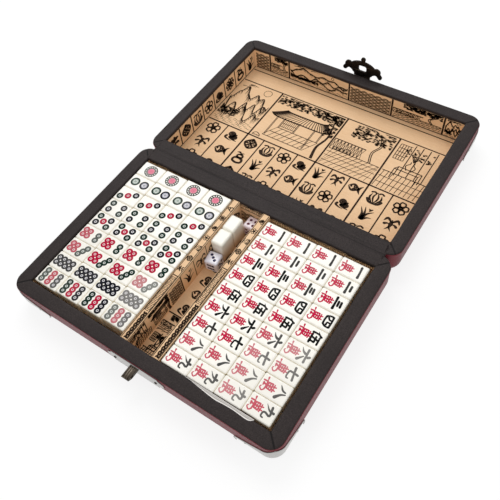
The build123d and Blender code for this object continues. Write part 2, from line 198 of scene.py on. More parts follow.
def tone_ramp(mask, low, high, start=0.3, end=0.7):
    """Colour between two tones as a mask runs from start to end."""
    ramp = add_node(mask, "ValToRGB", in_Fac=mask)
    for stop, position, tone in zip(ramp.color_ramp.elements, (start, end), (low, high)):
        stop.position = position
        stop.color = (*tone, 1.0)
    return ramp


def spread(mask, low, high):
    """A mask from 0 to 1 stretched between two values."""
    return add_node(mask, "MapRange", in_To_Min=low, in_To_Max=high, in_Value=mask)


def narrow(mask, low, high, **values):
    """A mask's stretch between two values made one from 0 to 1."""
    return add_node(mask, "MapRange", **values, in_From_Min=low, in_From_Max=high, in_Value=mask)


def colour_mix(factor, first, second):
    """One colour turning into another as the factor grows."""
    return add_node(factor, "Mix", data_type="RGBA", in_Factor=factor, in_A=first, in_B=second)


def raise_surface(shader, height, distance, strength=1.0):
    """Feeds a height into the shader's normal."""
    feed(shader, Normal=add_node(shader, "Bump", in_Distance=distance, in_Strength=strength,
                                 in_Height=height))


def dress(finish, *nodes):
    """Gives CAD nodes a finish."""
    for node in nodes:
        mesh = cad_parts[node].data
        mesh.materials.clear()
        mesh.materials.append(finish)


board_finish, shader, _, mask = mottled("case_board", (0.34, 0.27, 0.19), 0.85, 120.0, 2600.0, 0.6)
feed(shader, Base_Color=tone_ramp(mask, (0.28, 0.22, 0.15), (0.40, 0.33, 0.24)))
raise_surface(shader, mask, 0.0002, 0.5)
dress(board_finish, *[f"{half}_{side}_board" for half in ("base", "lid")
                      for side in ("floor", "hinge", "clasp", "left", "right")])


# Burgundy leatherette
# Glossy dark red leatherette is glued round the sides and the rounded lower edges of both
# halves, and a sheet of the same covers each underside.

# Leather grain: pebbles with soft creases between them
given, grain_out = new_group("leather_grain", [
    ("Place", "Vector"), ("Pebble Scale", "Float", 1300.0), ("Crease Scale", "Float", 260.0),
    ("Creases", "Float", 0.35)], [("Height", "Float"), ("Hollow", "Float")])
warp = add_node(grain_out, "TexNoise", in_Scale=420.0, in_Detail=2.0, in_Vector=given["Place"])
push = add_node(grain_out, "VectorMath", operation="MULTIPLY_ADD", in_0=warp.outputs["Color"],
                in_1=(0.0009, 0.0009, 0.0009), in_2=given["Place"])
pebbles = add_node(grain_out, "TexVoronoi", feature="SMOOTH_F1", in_Smoothness=0.5, in_Vector=push,
                   in_Scale=given["Pebble Scale"])
creases = add_node(grain_out, "TexVoronoi", feature="DISTANCE_TO_EDGE", in_Vector=push,
                   in_Scale=given["Crease Scale"])
crease_edge = narrow(creases, 0.0, 0.09, interpolation_type="SMOOTHSTEP")
domes = add_node(grain_out, "MapRange", in_From_Max=0.75, in_To_Min=1.0, in_To_Max=0.0,
                 in_Value=pebbles)
relief = add_node(grain_out, "Mix", data_type="FLOAT", in_Factor=given["Creases"], in_A=domes,
                  in_B=crease_edge)
feed(grain_out, Height=relief, Hollow=add_node(grain_out, "Math", operation="SUBTRACT", in_0=1.0,
                                               in_1=relief))


def leather_grain(shader, place, pebble_scale, crease_scale, creases, depth, smooth, rough):
    """A leatherette's grain: bumps, and rougher hollows; returns its height."""
    grain = add_node(shader, "Group", node_tree=grain_out.id_data, in_Place=place,
                     in_Pebble_Scale=pebble_scale, in_Crease_Scale=crease_scale, in_Creases=creases)
    feed(shader, Roughness=spread(grain.outputs["Hollow"], smooth, rough))
    raise_surface(shader, grain.outputs["Height"], depth)
    return grain.outputs["Height"]


burgundy_finish, shader, place, mask = mottled(
    "burgundy_leatherette", (0.19, 0.012, 0.022), 0.42, 55.0, 1500.0, 0.35, Specular_IOR_Level=0.3)
feed(shader, Base_Color=tone_ramp(mask, (0.15, 0.008, 0.016), (0.23, 0.018, 0.03)))
leather_grain(shader, place, 1500.0, 330.0, 0.4, 0.00006, 0.34, 0.55)
dress(burgundy_finish, "base_side_wrap", "base_bottom_wrap", "lid_side_wrap", "lid_bottom_wrap")


# Rim trim
# A strip of dark grained leatherette covers each rim, turned down a little over the inner
# wall and the outer edge, with a mitred seam in every corner. It ends under the hinge band.

dark_finish, shader, place, mask = mottled(
    "dark_leatherette", (0.034, 0.025, 0.024), 0.55, 45.0, 800.0, 0.4, Specular_IOR_Level=0.22)
height = leather_grain(shader, place, 1700.0, 620.0, 0.3, 0.00005, 0.48, 0.68)
wear = add_node(shader, "Math", operation="MULTIPLY", in_0=mask, in_1=height)
# Near black along the rim's mitred seams, which are real dark joints, and along the hinge band's fold
# crease and faint furrows, where it is painted shade.
seam = add_node(shader, "Attribute", attribute_name="seam").outputs["Fac"]
feed(shader, Base_Color=colour_mix(
    seam, tone_ramp(wear, (0.022, 0.016, 0.0155), (0.05, 0.037, 0.035), 0.15, 0.6),
    (0.004, 0.003, 0.003, 1.0)))

mm = 0.001


def node_box(node):
    """A CAD node's two corners in millimetres."""
    low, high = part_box(node)
    return Vector(low) / mm, Vector(high) / mm


def new_piece(name, points, faces, finish):
    """A smooth mesh object from points in millimetres."""
    mesh = bpy.data.meshes.new(name)
    mesh.from_pydata([tuple(c * mm for c in point) for point in points], [], faces)
    mesh.materials.append(finish)
    mesh.polygons.foreach_set("use_smooth", [True] * len(mesh.polygons))
    mesh.validate()
    return new_object(name, mesh)


def mark_points(piece, name, values):
    """Stores one number per point for a material to read."""
    layer = piece.data.attributes.new(name, "FLOAT", "POINT")
    layer.data.foreach_set("value", values)


def belong(piece, body, slot, *replaced):
    """Hangs a piece from its body's empty and hides the nodes it replaces; the slot is not used."""
    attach(piece, body)
    if replaced:
        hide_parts(*replaced)


rim_high = node_box("base_rim_trim")[1]
lining_low, lining_high = node_box("base_floor_lining")
lid_rim_high = node_box("lid_rim_trim")[1]
lid_lining_low, lid_lining_high = node_box("lid_floor_lining")
band_high = node_box("base_hinge_band")[1]
lid_centre_y = (lid_lining_low.y + lid_lining_high.y) / 2

half_width, half_depth, _ = node_box("base_side_wrap")[1]
opening_x, opening_y, _ = lining_high
case_corner = 10.5
opening_corner = 0.8
rim_sheet = 0.7
inner_turn = 3.0
outer_turn = 1.2
rim_wave = 0.38
rim_drop = 0.2
seam_half = 0.75
piping_radius = 0.32
corner_steps = 20
side_step = 2.4
end_gap = 9.0

# Section of the trim: share of the rim's width from outside to inside, and depth
rim_section = [(0.0, -outer_turn), (0.0, -0.75), (0.012, -0.34), (0.045, -0.09), (0.1, 0.0),
               (0.3, 0.02), (0.5, 0.03), (0.7, 0.02), (0.88, 0.0), (0.95, -0.12), (0.985, -0.42),
               (1.0, -0.9), (1.0, -inner_turn), (0.94, -inner_turn), (0.94, -rim_sheet),
               (0.06, -rim_sheet), (0.055, -outer_turn)]


def quarter(radius, share):
    """Point on a quarter circle from +X round to +Y, by its share."""
    return radius * cos(share * pi / 2), radius * sin(share * pi / 2)


def ring_stations():
    """Pairs of outer and inner points round a rim, from the hinge side's right end to its left.

    Counted clockwise from above; the hinge side is +Y. The last two numbers are the distances
    to the nearest mitre, along the outer and along the inner edge.
    """
    stations = []
    outer = half_width - case_corner, half_depth - case_corner
    inner = opening_x - opening_corner, opening_y - opening_corner
    arc = case_corner * pi / 4
    inner_arc = opening_corner * pi / 4
    for sign_x, sign_y, axis in ((1, 1, 1), (1, -1, 0), (-1, -1, 1), (-1, 1, 0)):
        for step in range(-corner_steps, corner_steps + 1):
            share = (step + corner_steps) / (2 * corner_steps)
            share = 1 - share if axis else share
            out_x, out_y = quarter(case_corner, share)
            in_x, in_y = quarter(opening_corner, share)
            stations.append((sign_x * (outer[0] + out_x), sign_y * (outer[1] + out_y),
                             sign_x * (inner[0] + in_x), sign_y * (inner[1] + in_y),
                             abs(step) * arc / corner_steps, abs(step) * inner_arc / corner_steps))
        count = int(2 * outer[axis] / side_step)
        for index in range(1, count if (sign_x, sign_y) != (-1, 1) else 1):
            share = 1 - 2 * index / count
            gap = min(index, count - index) * 2 * outer[axis] / count + arc
            run = sign_y * outer[1] * share if axis else sign_x * outer[0] * share
            inner_run = sign_y * inner[1] * share if axis else sign_x * inner[0] * share
            stations.append((sign_x * half_width, run, sign_x * opening_x, inner_run, gap, gap)
                            if axis else
                            (run, sign_y * half_depth, inner_run, sign_y * opening_y, gap, gap))
    return stations


def skin(rings, size, order):
    """Faces along a swept section of so many points, and its ends; order turns them outwards."""
    faces = []
    for first in range(0, (rings - 1) * size, size):
        for step in range(size):
            a, b = first + step, first + (step + 1) % size
            quad = (a, b, b + size, a + size)
            faces.append(tuple(quad[corner] for corner in order))
    tail = (rings - 1) * size
    ends = [tuple(range(size)), tuple(range(tail, tail + size))[::-1]]
    return faces + ([end[::-1] for end in ends] if order[1] == 1 else ends)


def rim_trim(name, top, centre_y, hinge_sign, seed):
    """The leatherette strip over one half's rim."""
    points, seams = [], []
    end_x = band_high.x - 0.4
    stations = [(end_x, half_depth, end_x, opening_y, end_gap, end_gap), *ring_stations(),
                (-end_x, half_depth, -end_x, opening_y, end_gap, end_gap)]
    for out_x, out_y, in_x, in_y, outer_gap, inner_gap in stations:
        across = Vector((in_x - out_x, in_y - out_y, 0))
        for share, depth in rim_section:
            x = out_x + across.x * share
            y = out_y + across.y * share
            ripple = noise.noise(Vector((x / 9, y / 9, seed)))
            slow = noise.noise(Vector((x / 26, y / 26, seed + 5)))
            inward = across.normalized() * rim_wave * (ripple * 0.45 + slow) * share ** 3
            seam = max(0.0, 1 - (outer_gap * (1 - share) + inner_gap * share) / seam_half)
            on_top = depth > -0.5
            rise = 0.16 * slow + 0.05 * ripple - seam * 0.3 if on_top else 0.0
            points.append((x + inward.x, centre_y + hinge_sign * (y + inward.y),
                           top + depth + rise - rim_drop))
            seams.append(min(1.0, 1.6 * seam) if on_top else 0.0)
    order = (0, 1, 2, 3) if hinge_sign > 0 else (3, 2, 1, 0)
    piece = new_piece(name, points, skin(len(stations), len(rim_section), order), dark_finish)
    mark_points(piece, "seam", seams)
    return piece


def close_tree(ends, geometry, finish):
    """Ends a geometry tree with plain geometry in its finish."""
    real = add_node(ends, "GeometryNodeRealizeInstances", in_Geometry=geometry)
    feed(ends, Geometry=add_node(ends, "GeometryNodeSetMaterial", in_Geometry=real,
                                 in_Material=finish))


# Draws a round bead along the edges of a piece
given, bead_tree = new_group("bead", [
    ("Geometry", "Geometry"), ("Radius", "Float"), ("Sides", "Int"), ("Finish", "Material")],
    [("Geometry", "Geometry")], "GeometryNodeTree")
line = add_node(bead_tree, "GeometryNodeMeshToCurve", in_Mesh=given["Geometry"])
profile = add_node(bead_tree, "GeometryNodeCurvePrimitiveCircle", in_Radius=given["Radius"],
                   in_Resolution=given["Sides"])
tube = add_node(bead_tree, "GeometryNodeCurveToMesh", in_Fill_Caps=True, in_Curve=line,
                in_Profile_Curve=profile)
close_tree(bead_tree, add_node(bead_tree, "GeometryNodeSetShadeSmooth", in_Geometry=tube),
           given["Finish"])


def settle(piece):
    """Leaves a piece with the plain mesh that its modifiers give."""
    bpy.context.view_layer.update()
    whole = piece.evaluated_get(bpy.context.evaluated_depsgraph_get())
    mesh = bpy.data.meshes.new_from_object(whole)
    piece.modifiers.clear()
    drawn = piece.data
    piece.data = mesh
    bpy.data.meshes.remove(drawn)
    mesh.name = piece.name


def grow(piece, ends, **sizes):
    """Runs the geometry tree that has these ends on a piece."""
    modifier = piece.modifiers.new("grow", "NODES")
    modifier.node_group = ends.id_data
    for item in ends.id_data.interface.items_tree:
        label = item.name.replace(" ", "_")
        if item.in_out == "INPUT" and label in sizes:
            modifier[item.identifier] = sizes[label]
    settle(piece)


def join_pieces(name, pieces):
    """Several pieces of one body as one object."""
    with bpy.context.temp_override(active_object=pieces[0], selected_objects=pieces,
                                   selected_editable_objects=pieces, object=pieces[0]):
        bpy.ops.object.join()
    pieces[0].name = name
    pieces[0].data.name = name
    return pieces[0]


def bead(name, lines, radius, finish):
    """Round beads along lines of points in millimetres."""
    mesh = bpy.data.meshes.new(name)
    points, edges = [], []
    for line in lines:
        edges += [(len(points) + index, len(points) + index + 1) for index in range(len(line) - 1)]
        points += [tuple(c * mm for c in point) for point in line]
    mesh.from_pydata(points, edges, [])
    piece = new_object(name, mesh)
    grow(piece, bead_tree, Radius=radius * mm, Sides=8, Finish=finish)
    return piece


halves = (("base", rim_high.z, 0.0, 1, 3.0), ("lid", lid_rim_high.z, lid_centre_y, -1, 8.0))
for half, top, centre_y, hinge_sign, seed in halves:
    rim = rim_trim(f"{half}_rim_cover", top, centre_y, hinge_sign, seed)
    belong(rim, half, "dark_leatherette", f"{half}_rim_trim")
for half, top, centre_y, hinge_sign, seed in halves:
    # The thin rolled edge of the burgundy leatherette, just under the trim
    line = [(x, centre_y + hinge_sign * y, top - outer_turn - piping_radius)
            for x, y, *_ in ring_stations()]
    piping = bead(f"{half}_edge_piping", [line], piping_radius, burgundy_finish)
    belong(piping, half, "burgundy_leatherette")


# Hinge band
# One strip of the dark leatherette runs down the inside of the base, over both rims and down
# the inside of the lid. It is the hinge, with a crease along the fold.

fold_y = band_high.y
fold_depth = 0.55
fold_half = fold_y - half_depth
band_end = band_high.x
band_end_radius = 2.6
band_columns = 150
lid_wall_y = node_box("lid_hinge_band")[1].y


def band_section():
    """Section across the two rims: (y, z) over the band from the base's wall, and back under it."""
    base_top, lid_top = rim_high.z, lid_rim_high.z
    turned = ((0, -inner_turn), (0, -0.9), (0.14, -0.38), (0.55, -0.06))
    upper = [(opening_y + inset, base_top + drop) for inset, drop in turned]
    upper += [(opening_y + 1.2 + step * 0.6, base_top) for step in range(15)]
    upper += [(fold_y + fold_half * share, top - drop) for share, top, drop in (
        (-1.3, base_top, 0.04), (-0.8, base_top, 0.16), (-0.35, base_top, fold_depth * 0.75),
        (0, base_top, fold_depth), (0.35, lid_top, fold_depth * 0.6), (0.8, lid_top, 0.12),
        (1.3, lid_top, 0))]
    upper += [(lid_wall_y - 1.2 - step * 0.6, lid_top) for step in range(14, -1, -1)]
    upper += [(lid_wall_y - inset, lid_top + drop) for inset, drop in reversed(turned)]
    under = [(lid_wall_y - 0.62, lid_top - inner_turn), (lid_wall_y - 0.62, lid_top - rim_sheet),
             (fold_y + fold_half, lid_top - rim_sheet), (fold_y, base_top - rim_sheet - 0.4),
             (fold_y - fold_half, base_top - rim_sheet), (opening_y + 0.62, base_top - rim_sheet),
             (opening_y + 0.62, base_top - inner_turn)]
    return upper, under


def hinge_cover():
    """The band's mesh, with wavy inner edges and rounded ends over the fold."""
    upper, under = band_section()
    section = upper + under
    points, seams = [], []
    for column in range(band_columns + 1):
        x = -band_end + 2 * band_end * (column / band_columns)
        short = max(0.0, band_end_radius - (band_end - abs(x)))
        pull = band_end_radius - sqrt(band_end_radius ** 2 - short ** 2)
        for index, (y, z) in enumerate(section):
            ripple = noise.noise(Vector((x / 10, y / 10, 1.7)))
            slow = noise.noise(Vector((x / 30, y / 24, 6.1)))
            pull_line = noise.noise(Vector((x / 45, y / 1.1, 3.3)))
            near_wall = max(0.0, 1 - (y - opening_y) / 3) - max(0.0, 1 - (lid_wall_y - y) / 3)
            inward = near_wall * rim_wave * (slow + ripple * 0.45)
            on_top = index < len(upper)
            swell = (0.12 * slow + 0.05 * ripple + 0.09 * pull_line) if on_top else 0.0
            points.append((x, y + inward, z - 0.12 * pull + swell - 0.15))
            # Painted shade: the fold's crease and the furrows of the pull lines are marked to turn the
            # leatherette near black.
            crease_shade = max(0.0, 1 - abs(y - fold_y) / 0.5)
            seams.append(max(crease_shade * 0.9, -0.5 * pull_line) if on_top else 0.0)
    faces = skin(band_columns + 1, len(section), (0, 3, 2, 1))
    piece = new_piece("hinge_band_cover", points, faces, dark_finish)
    mark_points(piece, "seam", seams)
    return piece


hinge_band = hinge_cover()
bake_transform(hinge_band)
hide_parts("base_hinge_band", "lid_hinge_band")


# Paper lining
# Tan paper on card, printed in dark brown, lines both trays and wraps the two dividers.

paper_finish, shader, place, mask = mottled("printed_paper", (0.72, 0.45, 0.24), 0.62, 22.0, 1100.0, 0.35)
along = add_node(shader, "Mapping", in_Scale=(0.25, 2.2, 1.0), in_Vector=place)
fibres = add_node(shader, "TexNoise", in_Scale=380.0, in_Detail=4.0, in_Vector=along)
mixed = add_node(shader, "Mix", data_type="FLOAT", in_Factor=0.3, in_A=mask, in_B=fibres)
feed(shader, Base_Color=tone_ramp(mixed, (0.76, 0.475, 0.25), (0.94, 0.645, 0.385)))
raise_surface(shader, fibres, 0.00005)
dress(paper_finish, "base_floor_lining", "base_wall_lining", "lid_floor_lining",
      "lid_wall_lining")

# The paper's edge has come loose over the front rim of the right compartment: (x, outer y)
loose_line = [(40.0, -71.5), (45.0, -71.7), (50.0, -72.3), (55.0, -72.9), (61.0, -73.6), (67.0, -74.0),
              (74.0, -73.5), (81.0, -73.3), (87.0, -73.7), (92.0, -73.9), (94.5, -73.0), (96.2, -71.5)]
loose_inner = -71.05
loose_sheet = 0.1

# Painted shade: the strip is dark brown down the wall and along its inner fold, next to the tiles; across
# the rest it has thin dark and pale bands and pales to near white at its outer edge.
loose_edge_shaded_finish, shader = new_finish("loose_paper_edge", (0.7, 0.66, 0.6), 0.5)
layer = add_node(shader, "Attribute", attribute_name="layer").outputs["Fac"]
ramp = tone_ramp(layer, (0.10, 0.06, 0.04), (0.93, 0.92, 0.9), 0.0, 1.0)
for spot, tone in ((0.14, 0.18), (0.2, 0.62), (0.34, 0.72), (0.4, 0.16), (0.47, 0.66), (0.62, 0.5),
                   (0.68, 0.2), (0.74, 0.6), (0.88, 0.9)):
    ramp.color_ramp.elements.new(spot).color = (tone, tone * 0.94, tone * 0.88, 1)
feed(shader, Base_Color=ramp)


def smooth_line(points, steps):
    """A flowing line through the points."""
    knots = [Vector(point) for point in points]
    if len(points) < 3 or steps < 2:
        return knots
    knots = [2 * knots[0] - knots[1]] + knots + [2 * knots[-1] - knots[-2]]
    line = []
    for a, b, c, d in zip(knots, knots[1:], knots[2:], knots[3:]):
        for step in range(steps):
            t = step / steps
            line.append(0.5 * (2 * b + (c - a) * t + (2 * a - 5 * b + 4 * c - d) * t * t
                               + (3 * b - a - 3 * c + d) * t ** 3))
    return line + [knots[-2]]


def loose_edge():
    """The loose strip: down the wall, over the trim and out to its wavy edge."""
    points, layers = [], []
    line = smooth_line(loose_line, 6)
    for x, outer in line:
        surface = rim_high.z - 0.2 + 0.16 * noise.noise(Vector((x / 26, outer / 26, 8.0))) + 0.08
        edge = min(outer, loose_inner - 0.5)
        ruffle = 0.05 * noise.noise(Vector((x / 3, 4.4, 1.0)))
        upper = [(loose_inner, rim_high.z - 2.4, 0.0), (loose_inner, surface - 0.35, 0.1),
                 (loose_inner - 0.1, surface - 0.08, 0.2), (loose_inner - 0.35, surface, 0.3),
                 ((loose_inner + edge) / 2, surface + ruffle, 0.6), (edge + 0.1, surface, 0.95),
                 (edge, surface - 0.03, 1.0)]
        points += [(x, y, z) for y, z, _ in upper]
        points += [(x, y, z - loose_sheet) if y < loose_inner - 0.05 else (x, y - loose_sheet, z)
                   for y, z, _ in reversed(upper)]
        layers += [share for *_, share in upper + upper[::-1]]
    faces = skin(len(line), 2 * len(upper), (0, 3, 2, 1))
    piece = new_piece("loose_lining_edge", points, faces, loose_edge_shaded_finish)
    mark_points(piece, "layer", layers)
    return piece


belong(loose_edge(), "base", "printed_paper")


# Print on the linings
# The paper is printed with ruled panels: landscapes, plants and bold single emblems in
# cells, with a plain band along the far side. Ink lines lie on the paper as thin ribbons.

ink_finish, shader, _, mask = mottled(
    "print_ink", (0.03, 0.018, 0.012), 0.75, 200.0, 2500.0, 0.6, Specular_IOR_Level=0.1)
feed(shader, Base_Color=tone_ramp(mask, (0.014, 0.009, 0.006), (0.06, 0.034, 0.02)))

ink = (0, 0, 0)
press_chance = Random(4021)

# How a brush presses at the start, the middle and the end of a stroke
even = (1, 1, 1)
thick = (1.1, 0.85, 1.15)
thin = (1.2, 0.8, 0.15)
leaf = (0.25, 1.6, 0.1)
fin = (0.3, 1.3, 0.4)


class Pen:
    """Draws on flat sheets and gathers what becomes one piece.

    Its weight makes strokes bolder, its lift is their height over the sheet, and its dish is
    how far their middle line sinks.
    """

    def __init__(self, weight=1.0, lift=0.05, dish=0.0):
        self.points, self.faces, self.paints = [], [], []
        self.weight, self.lift, self.dish = weight, lift, dish

    def on(self, origin, across, up):
        """Turns to the sheet that has this origin and these directions."""
        across, up = Vector(across), Vector(up)
        self.sheet = Vector(origin), across, up, across.cross(up)

    def point(self, u, v, sink, paint):
        """Adds a point, sunk below the lift, and returns its number."""
        origin, across, up, out = self.sheet
        self.points.append(origin + across * u + up * v + out * (self.lift - sink))
        self.paints.append(paint)
        return len(self.points) - 1

    def join(self, rows, turned=False):
        """Faces from each row of points to the next."""
        for row, after in zip(rows, rows[1:]):
            for a, b, c, d in zip(row, after, after[1:], row[1:]):
                self.faces.append((a, d, c, b) if turned else (a, b, c, d))

    def stroke(self, points, width, press=even, steps=4, hold=None, paint=ink, round_ends=True):
        """A ribbon along the points, wider or narrower as the brush presses, held in a rect."""
        line = smooth_line(points, steps)
        spans = [0.0]
        for a, b in zip(line, line[1:]):
            spans.append(spans[-1] + (b - a).length)
        total = spans[-1] or 1.0
        width *= self.weight
        head, body, tail = press
        stations = []
        for before, point, after, span in zip(line[:1] + line, line, line[1:] + line[-1:], spans):
            t = span / total
            way = after - before
            way = way / (way.length or 1.0)
            half = width / 2 * (head * (1 - t) ** 2 + 2 * body * t * (1 - t) + tail * t * t)
            stations.append((point, way, max(half, width * 0.06)))
        if round_ends:
            (point, way, half), (last, last_way, last_half) = stations[0], stations[-1]
            stations = [(point - way * half * 0.75, way, half * 0.45), *stations,
                        (last + last_way * last_half * 0.75, last_way, last_half * 0.45)]
        rows = []
        for point, way, half in stations:
            side = Vector((-way.y, way.x)) * half
            rows.append([])
            for share in ((-1, 0, 1) if self.dish else (-1, 1)):
                u, v = point + side * share
                if hold:
                    u = min(max(u, hold[0]), hold[2])
                    v = min(max(v, hold[1]), hold[3])
                rows[-1].append(self.point(u, v, 0 if share else self.dish, paint))
        self.join(rows)

    def rule(self, start, end, width):
        """A straight printed line."""
        self.stroke([start, end], width, steps=1, round_ends=False)

    def rules(self, at, width, ends):
        """Straight lines in a picture, each between two pairs of shares."""
        for a, b, c, d in ends:
            self.rule(at(a, b), at(c, d), width)

    def ring(self, u, v, radius, width, paint=ink, dish=None, sides=20):
        """A painted ring."""
        dish = self.dish if dish is None else dish
        rows = []
        for step in range(sides):
            angle = 2 * pi * step / sides
            rows.append([])
            for share in ((-1, 0, 1) if dish else (-1, 1)):
                reach = radius + share * width / 2
                rows[-1].append(self.point(u + reach * cos(angle), v + reach * sin(angle),
                                           0 if share else dish, paint))
        self.join(rows + rows[:1], turned=True)

    def dot(self, u, v, radius, paint=ink, sink=0.0, sides=10):
        """A round painted spot."""
        centre = self.point(u, v, sink, paint)
        rim = [self.point(u + radius * cos(2 * pi * step / sides),
                          v + radius * sin(2 * pi * step / sides), sink, paint)
               for step in range(sides)]
        self.faces += [(centre, a, b) for a, b in zip(rim, rim[1:] + rim[:1])]

    def piece(self, name, finish):
        """All that was drawn as one mesh, with its paint colours."""
        piece = new_piece(name, self.points, self.faces, finish)
        layer = piece.data.attributes.new("paint", "FLOAT_COLOR", "POINT")
        layer.data.foreach_set("color", [value for paint in self.paints for value in (*paint, 1.0)])
        return piece


def wander(points, amount):
    """Points shifted a little, as a cut block prints."""
    return [(u + press_chance.uniform(-amount, amount), v + press_chance.uniform(-amount, amount))
            for u, v in points]


def drawn(*strokes):
    """Strokes of a unit square as (width, pressure, points), upright, from hundredths of it."""
    return [(width / 100, press, [(a / 100, b / 100) for a, b in zip(spots[::2], spots[1::2])])
            for width, press, *spots in strokes]


def petals(count, inner, outer, plump, start=0.0):
    """Closed loops set round a centre, as strokes of an emblem."""
    loops = []
    waist = inner + (outer - inner) * 0.45
    outline = [(inner, 0), (waist, plump), (outer * 0.97, plump * 0.75), (outer, 0),
               (outer * 0.97, -plump * 0.75), (waist, -plump), (inner, 0)]
    for index in range(count):
        angle = start + 2 * pi * index / count
        loops.append((0.055, even, [(0.5 + reach * cos(angle) - side * sin(angle),
                                     0.5 + reach * sin(angle) + side * cos(angle))
                                    for reach, side in outline]))
    return loops


def spiral(u, v, radius, turns, start):
    """A scroll that winds in to its centre, as a stroke of an emblem."""
    count = int(turns * 8)
    points = []
    for step in range(count + 1):
        reach = radius * (1 - step / (count + 1))
        angle = start + 2 * pi * turns * step / count
        points.append((u + reach * cos(angle), v + reach * sin(angle)))
    return 0.09, (1, 1, 0.8), points


# Emblems for the cells, upright in a unit square: flowers, leaves, scrolls and small figures
emblems = [
    petals(5, 0.1, 0.46, 0.17, pi / 2) + drawn((14, thick, 48, 50, 52, 50)),
    drawn((6, thick, 50, 2, 49, 30, 51, 62), (13, leaf, 50, 60, 24, 55, 4, 36),
          (13, leaf, 50, 62, 30, 78, 6, 82), (14, leaf, 51, 62, 56, 82, 50, 99),
          (14, leaf, 52, 60, 76, 72, 95, 70), (13, leaf, 50, 34, 74, 36, 95, 20),
          (10, leaf, 50, 30, 28, 22, 14, 6)),
    drawn((9, thin, 36, 4, 30, 45, 6, 84), (10, thin, 42, 3, 44, 50, 30, 96),
          (10, thin, 46, 3, 60, 50, 92, 80), (8, thin, 50, 4, 74, 26, 97, 32),
          (7, leaf, 56, 94, 66, 82, 62, 72), (7, leaf, 80, 96, 70, 86, 64, 72)),
    [spiral(0.36, 0.6, 0.27, 1.6, -pi / 2), spiral(0.72, 0.42, 0.2, 1.4, pi / 2)]
    + drawn((10, thin, 36, 33, 60, 20, 96, 12), (8, thin, 10, 40, 4, 24, 30, 12, 60, 6)),
    drawn((8, thick, 50, 95, 95, 50, 50, 5, 5, 50, 50, 95), (7, thick, 28, 72, 72, 28),
          (7, thick, 28, 28, 72, 72), (7, thick, 50, 95, 50, 72), (7, thick, 50, 28, 50, 5),
          (7, thick, 5, 50, 28, 50), (7, thick, 72, 50, 95, 50)),
    drawn((10, leaf, 3, 62, 20, 86, 50, 60), (10, leaf, 97, 66, 80, 90, 50, 60),
          (15, (0.4, 1.4, 0.2), 50, 78, 50, 50, 48, 20), (6, thin, 48, 26, 36, 10, 30, 0),
          (6, thin, 48, 26, 60, 10, 68, 0), (8, thin, 12, 40, 30, 50, 46, 46),
          (8, thin, 88, 42, 70, 52, 54, 46)),
    petals(8, 0.14, 0.47, 0.09) + drawn((13, thick, 49, 50, 51, 50)),
    drawn((8, thick, 4, 30, 20, 8, 50, 2, 80, 8, 96, 30), (7, leaf, 50, 4, 34, 50, 50, 95),
          (7, leaf, 50, 4, 66, 50, 50, 95), (8, leaf, 40, 6, 14, 40, 20, 78),
          (8, leaf, 60, 6, 86, 40, 80, 78), (6, thick, 12, 86, 30, 92, 42, 86),
          (6, thick, 62, 88, 76, 94, 90, 86)),
    drawn((10, fin, 4, 52, 36, 78, 78, 56), (10, fin, 4, 50, 36, 24, 78, 46),
          (10, thin, 76, 50, 86, 72, 98, 84), (10, thin, 76, 50, 86, 30, 98, 16),
          (8, thick, 20, 55, 22, 55), (6, thick, 40, 66, 46, 50, 40, 36),
          (6, thick, 55, 62, 60, 50, 55, 40)),
    drawn((8, thick, 50, 50, 30, 56, 32, 74, 50, 80, 68, 74, 70, 56, 50, 50),
          (9, thick, 50, 50, 20, 40, 18, 14, 50, 3, 82, 14, 80, 40, 50, 50),
          (7, thin, 50, 80, 54, 92, 70, 98), (8, leaf, 50, 86, 30, 98, 10, 90))]


def add_emblem(pen, number, u, v, size, weight=1.0):
    """One emblem centred on u, v, a little askew."""
    tilt = press_chance.uniform(-0.08, 0.08)
    for width, press, points in emblems[number % len(emblems)]:
        spots = []
        for a, b in points:
            x, y = (a - 0.5) * size, (b - 0.5) * size
            spots.append((u + x * cos(tilt) - y * sin(tilt), v + x * sin(tilt) + y * cos(tilt)))
        pen.stroke(wander(spots, size * 0.006), width * size * weight, press)


def places_in(rect):
    """A function from shares of a rectangle's width and height to a place in it."""
    u0, v0, u1, v1 = rect
    return lambda a, b: (u0 + (u1 - u0) * a, v0 + (v1 - v0) * b)


def foliage(pen, rect, count):
    """Tufts of short needles, close together."""
    u0, v0, u1, v1 = rect
    for tuft in range(count):
        u, v = press_chance.uniform(u0, u1), press_chance.uniform(v0, v1)
        lean = press_chance.uniform(-0.5, 0.5)
        for needle in range(5):
            angle = pi * (0.1 + 0.2 * needle) + lean
            tip = u + 2.1 * cos(angle), v + 1.8 * sin(angle)
            pen.stroke([(u, v), tip], 0.5, thin, 1, hold=rect)


def water(pen, rect):
    """Short rippling lines."""
    u0, v0, u1, v1 = rect
    rows = max(2, int((v1 - v0) / 1.7))
    for row in range(rows):
        v = v0 + (row + 0.5) * (v1 - v0) / rows
        u = u0 + press_chance.uniform(0, 4)
        while u < u1 - 5:
            run = press_chance.uniform(4, 9)
            ripple = [(u, v), (u + run * 0.3, v + 0.35), (u + run * 0.65, v - 0.3), (u + run, v)]
            pen.stroke(ripple, 0.36, (0.5, 1.1, 0.3), 3, hold=rect)
            u += run + press_chance.uniform(0.8, 3.0)


def stones(pen, rect):
    """Rounded rocks with hatched undersides."""
    u, v, u1, v1 = rect
    u += 1
    while u < u1 - 5:
        size = press_chance.uniform(4, 9)
        high = min(size * press_chance.uniform(0.5, 0.9), v1 - v)
        outline = [(u, v + 0.4), (u + size * 0.12, v + high * 0.7), (u + size * 0.45, v + high),
                   (u + size * 0.85, v + high * 0.7), (u + size, v + 0.4)]
        pen.stroke(wander(outline, 0.3), 0.5, hold=rect)
        for step in range(int(size / 0.9)):
            a = u + 0.9 * step + 0.6
            hatch = [(a, v + 0.5), (a - 0.4, v + high * 0.3),
                     (a + 0.2, v + high * press_chance.uniform(0.35, 0.6))]
            pen.stroke(hatch, 0.34, thin, 3, hold=rect)
        u += size * press_chance.uniform(0.8, 1.2)


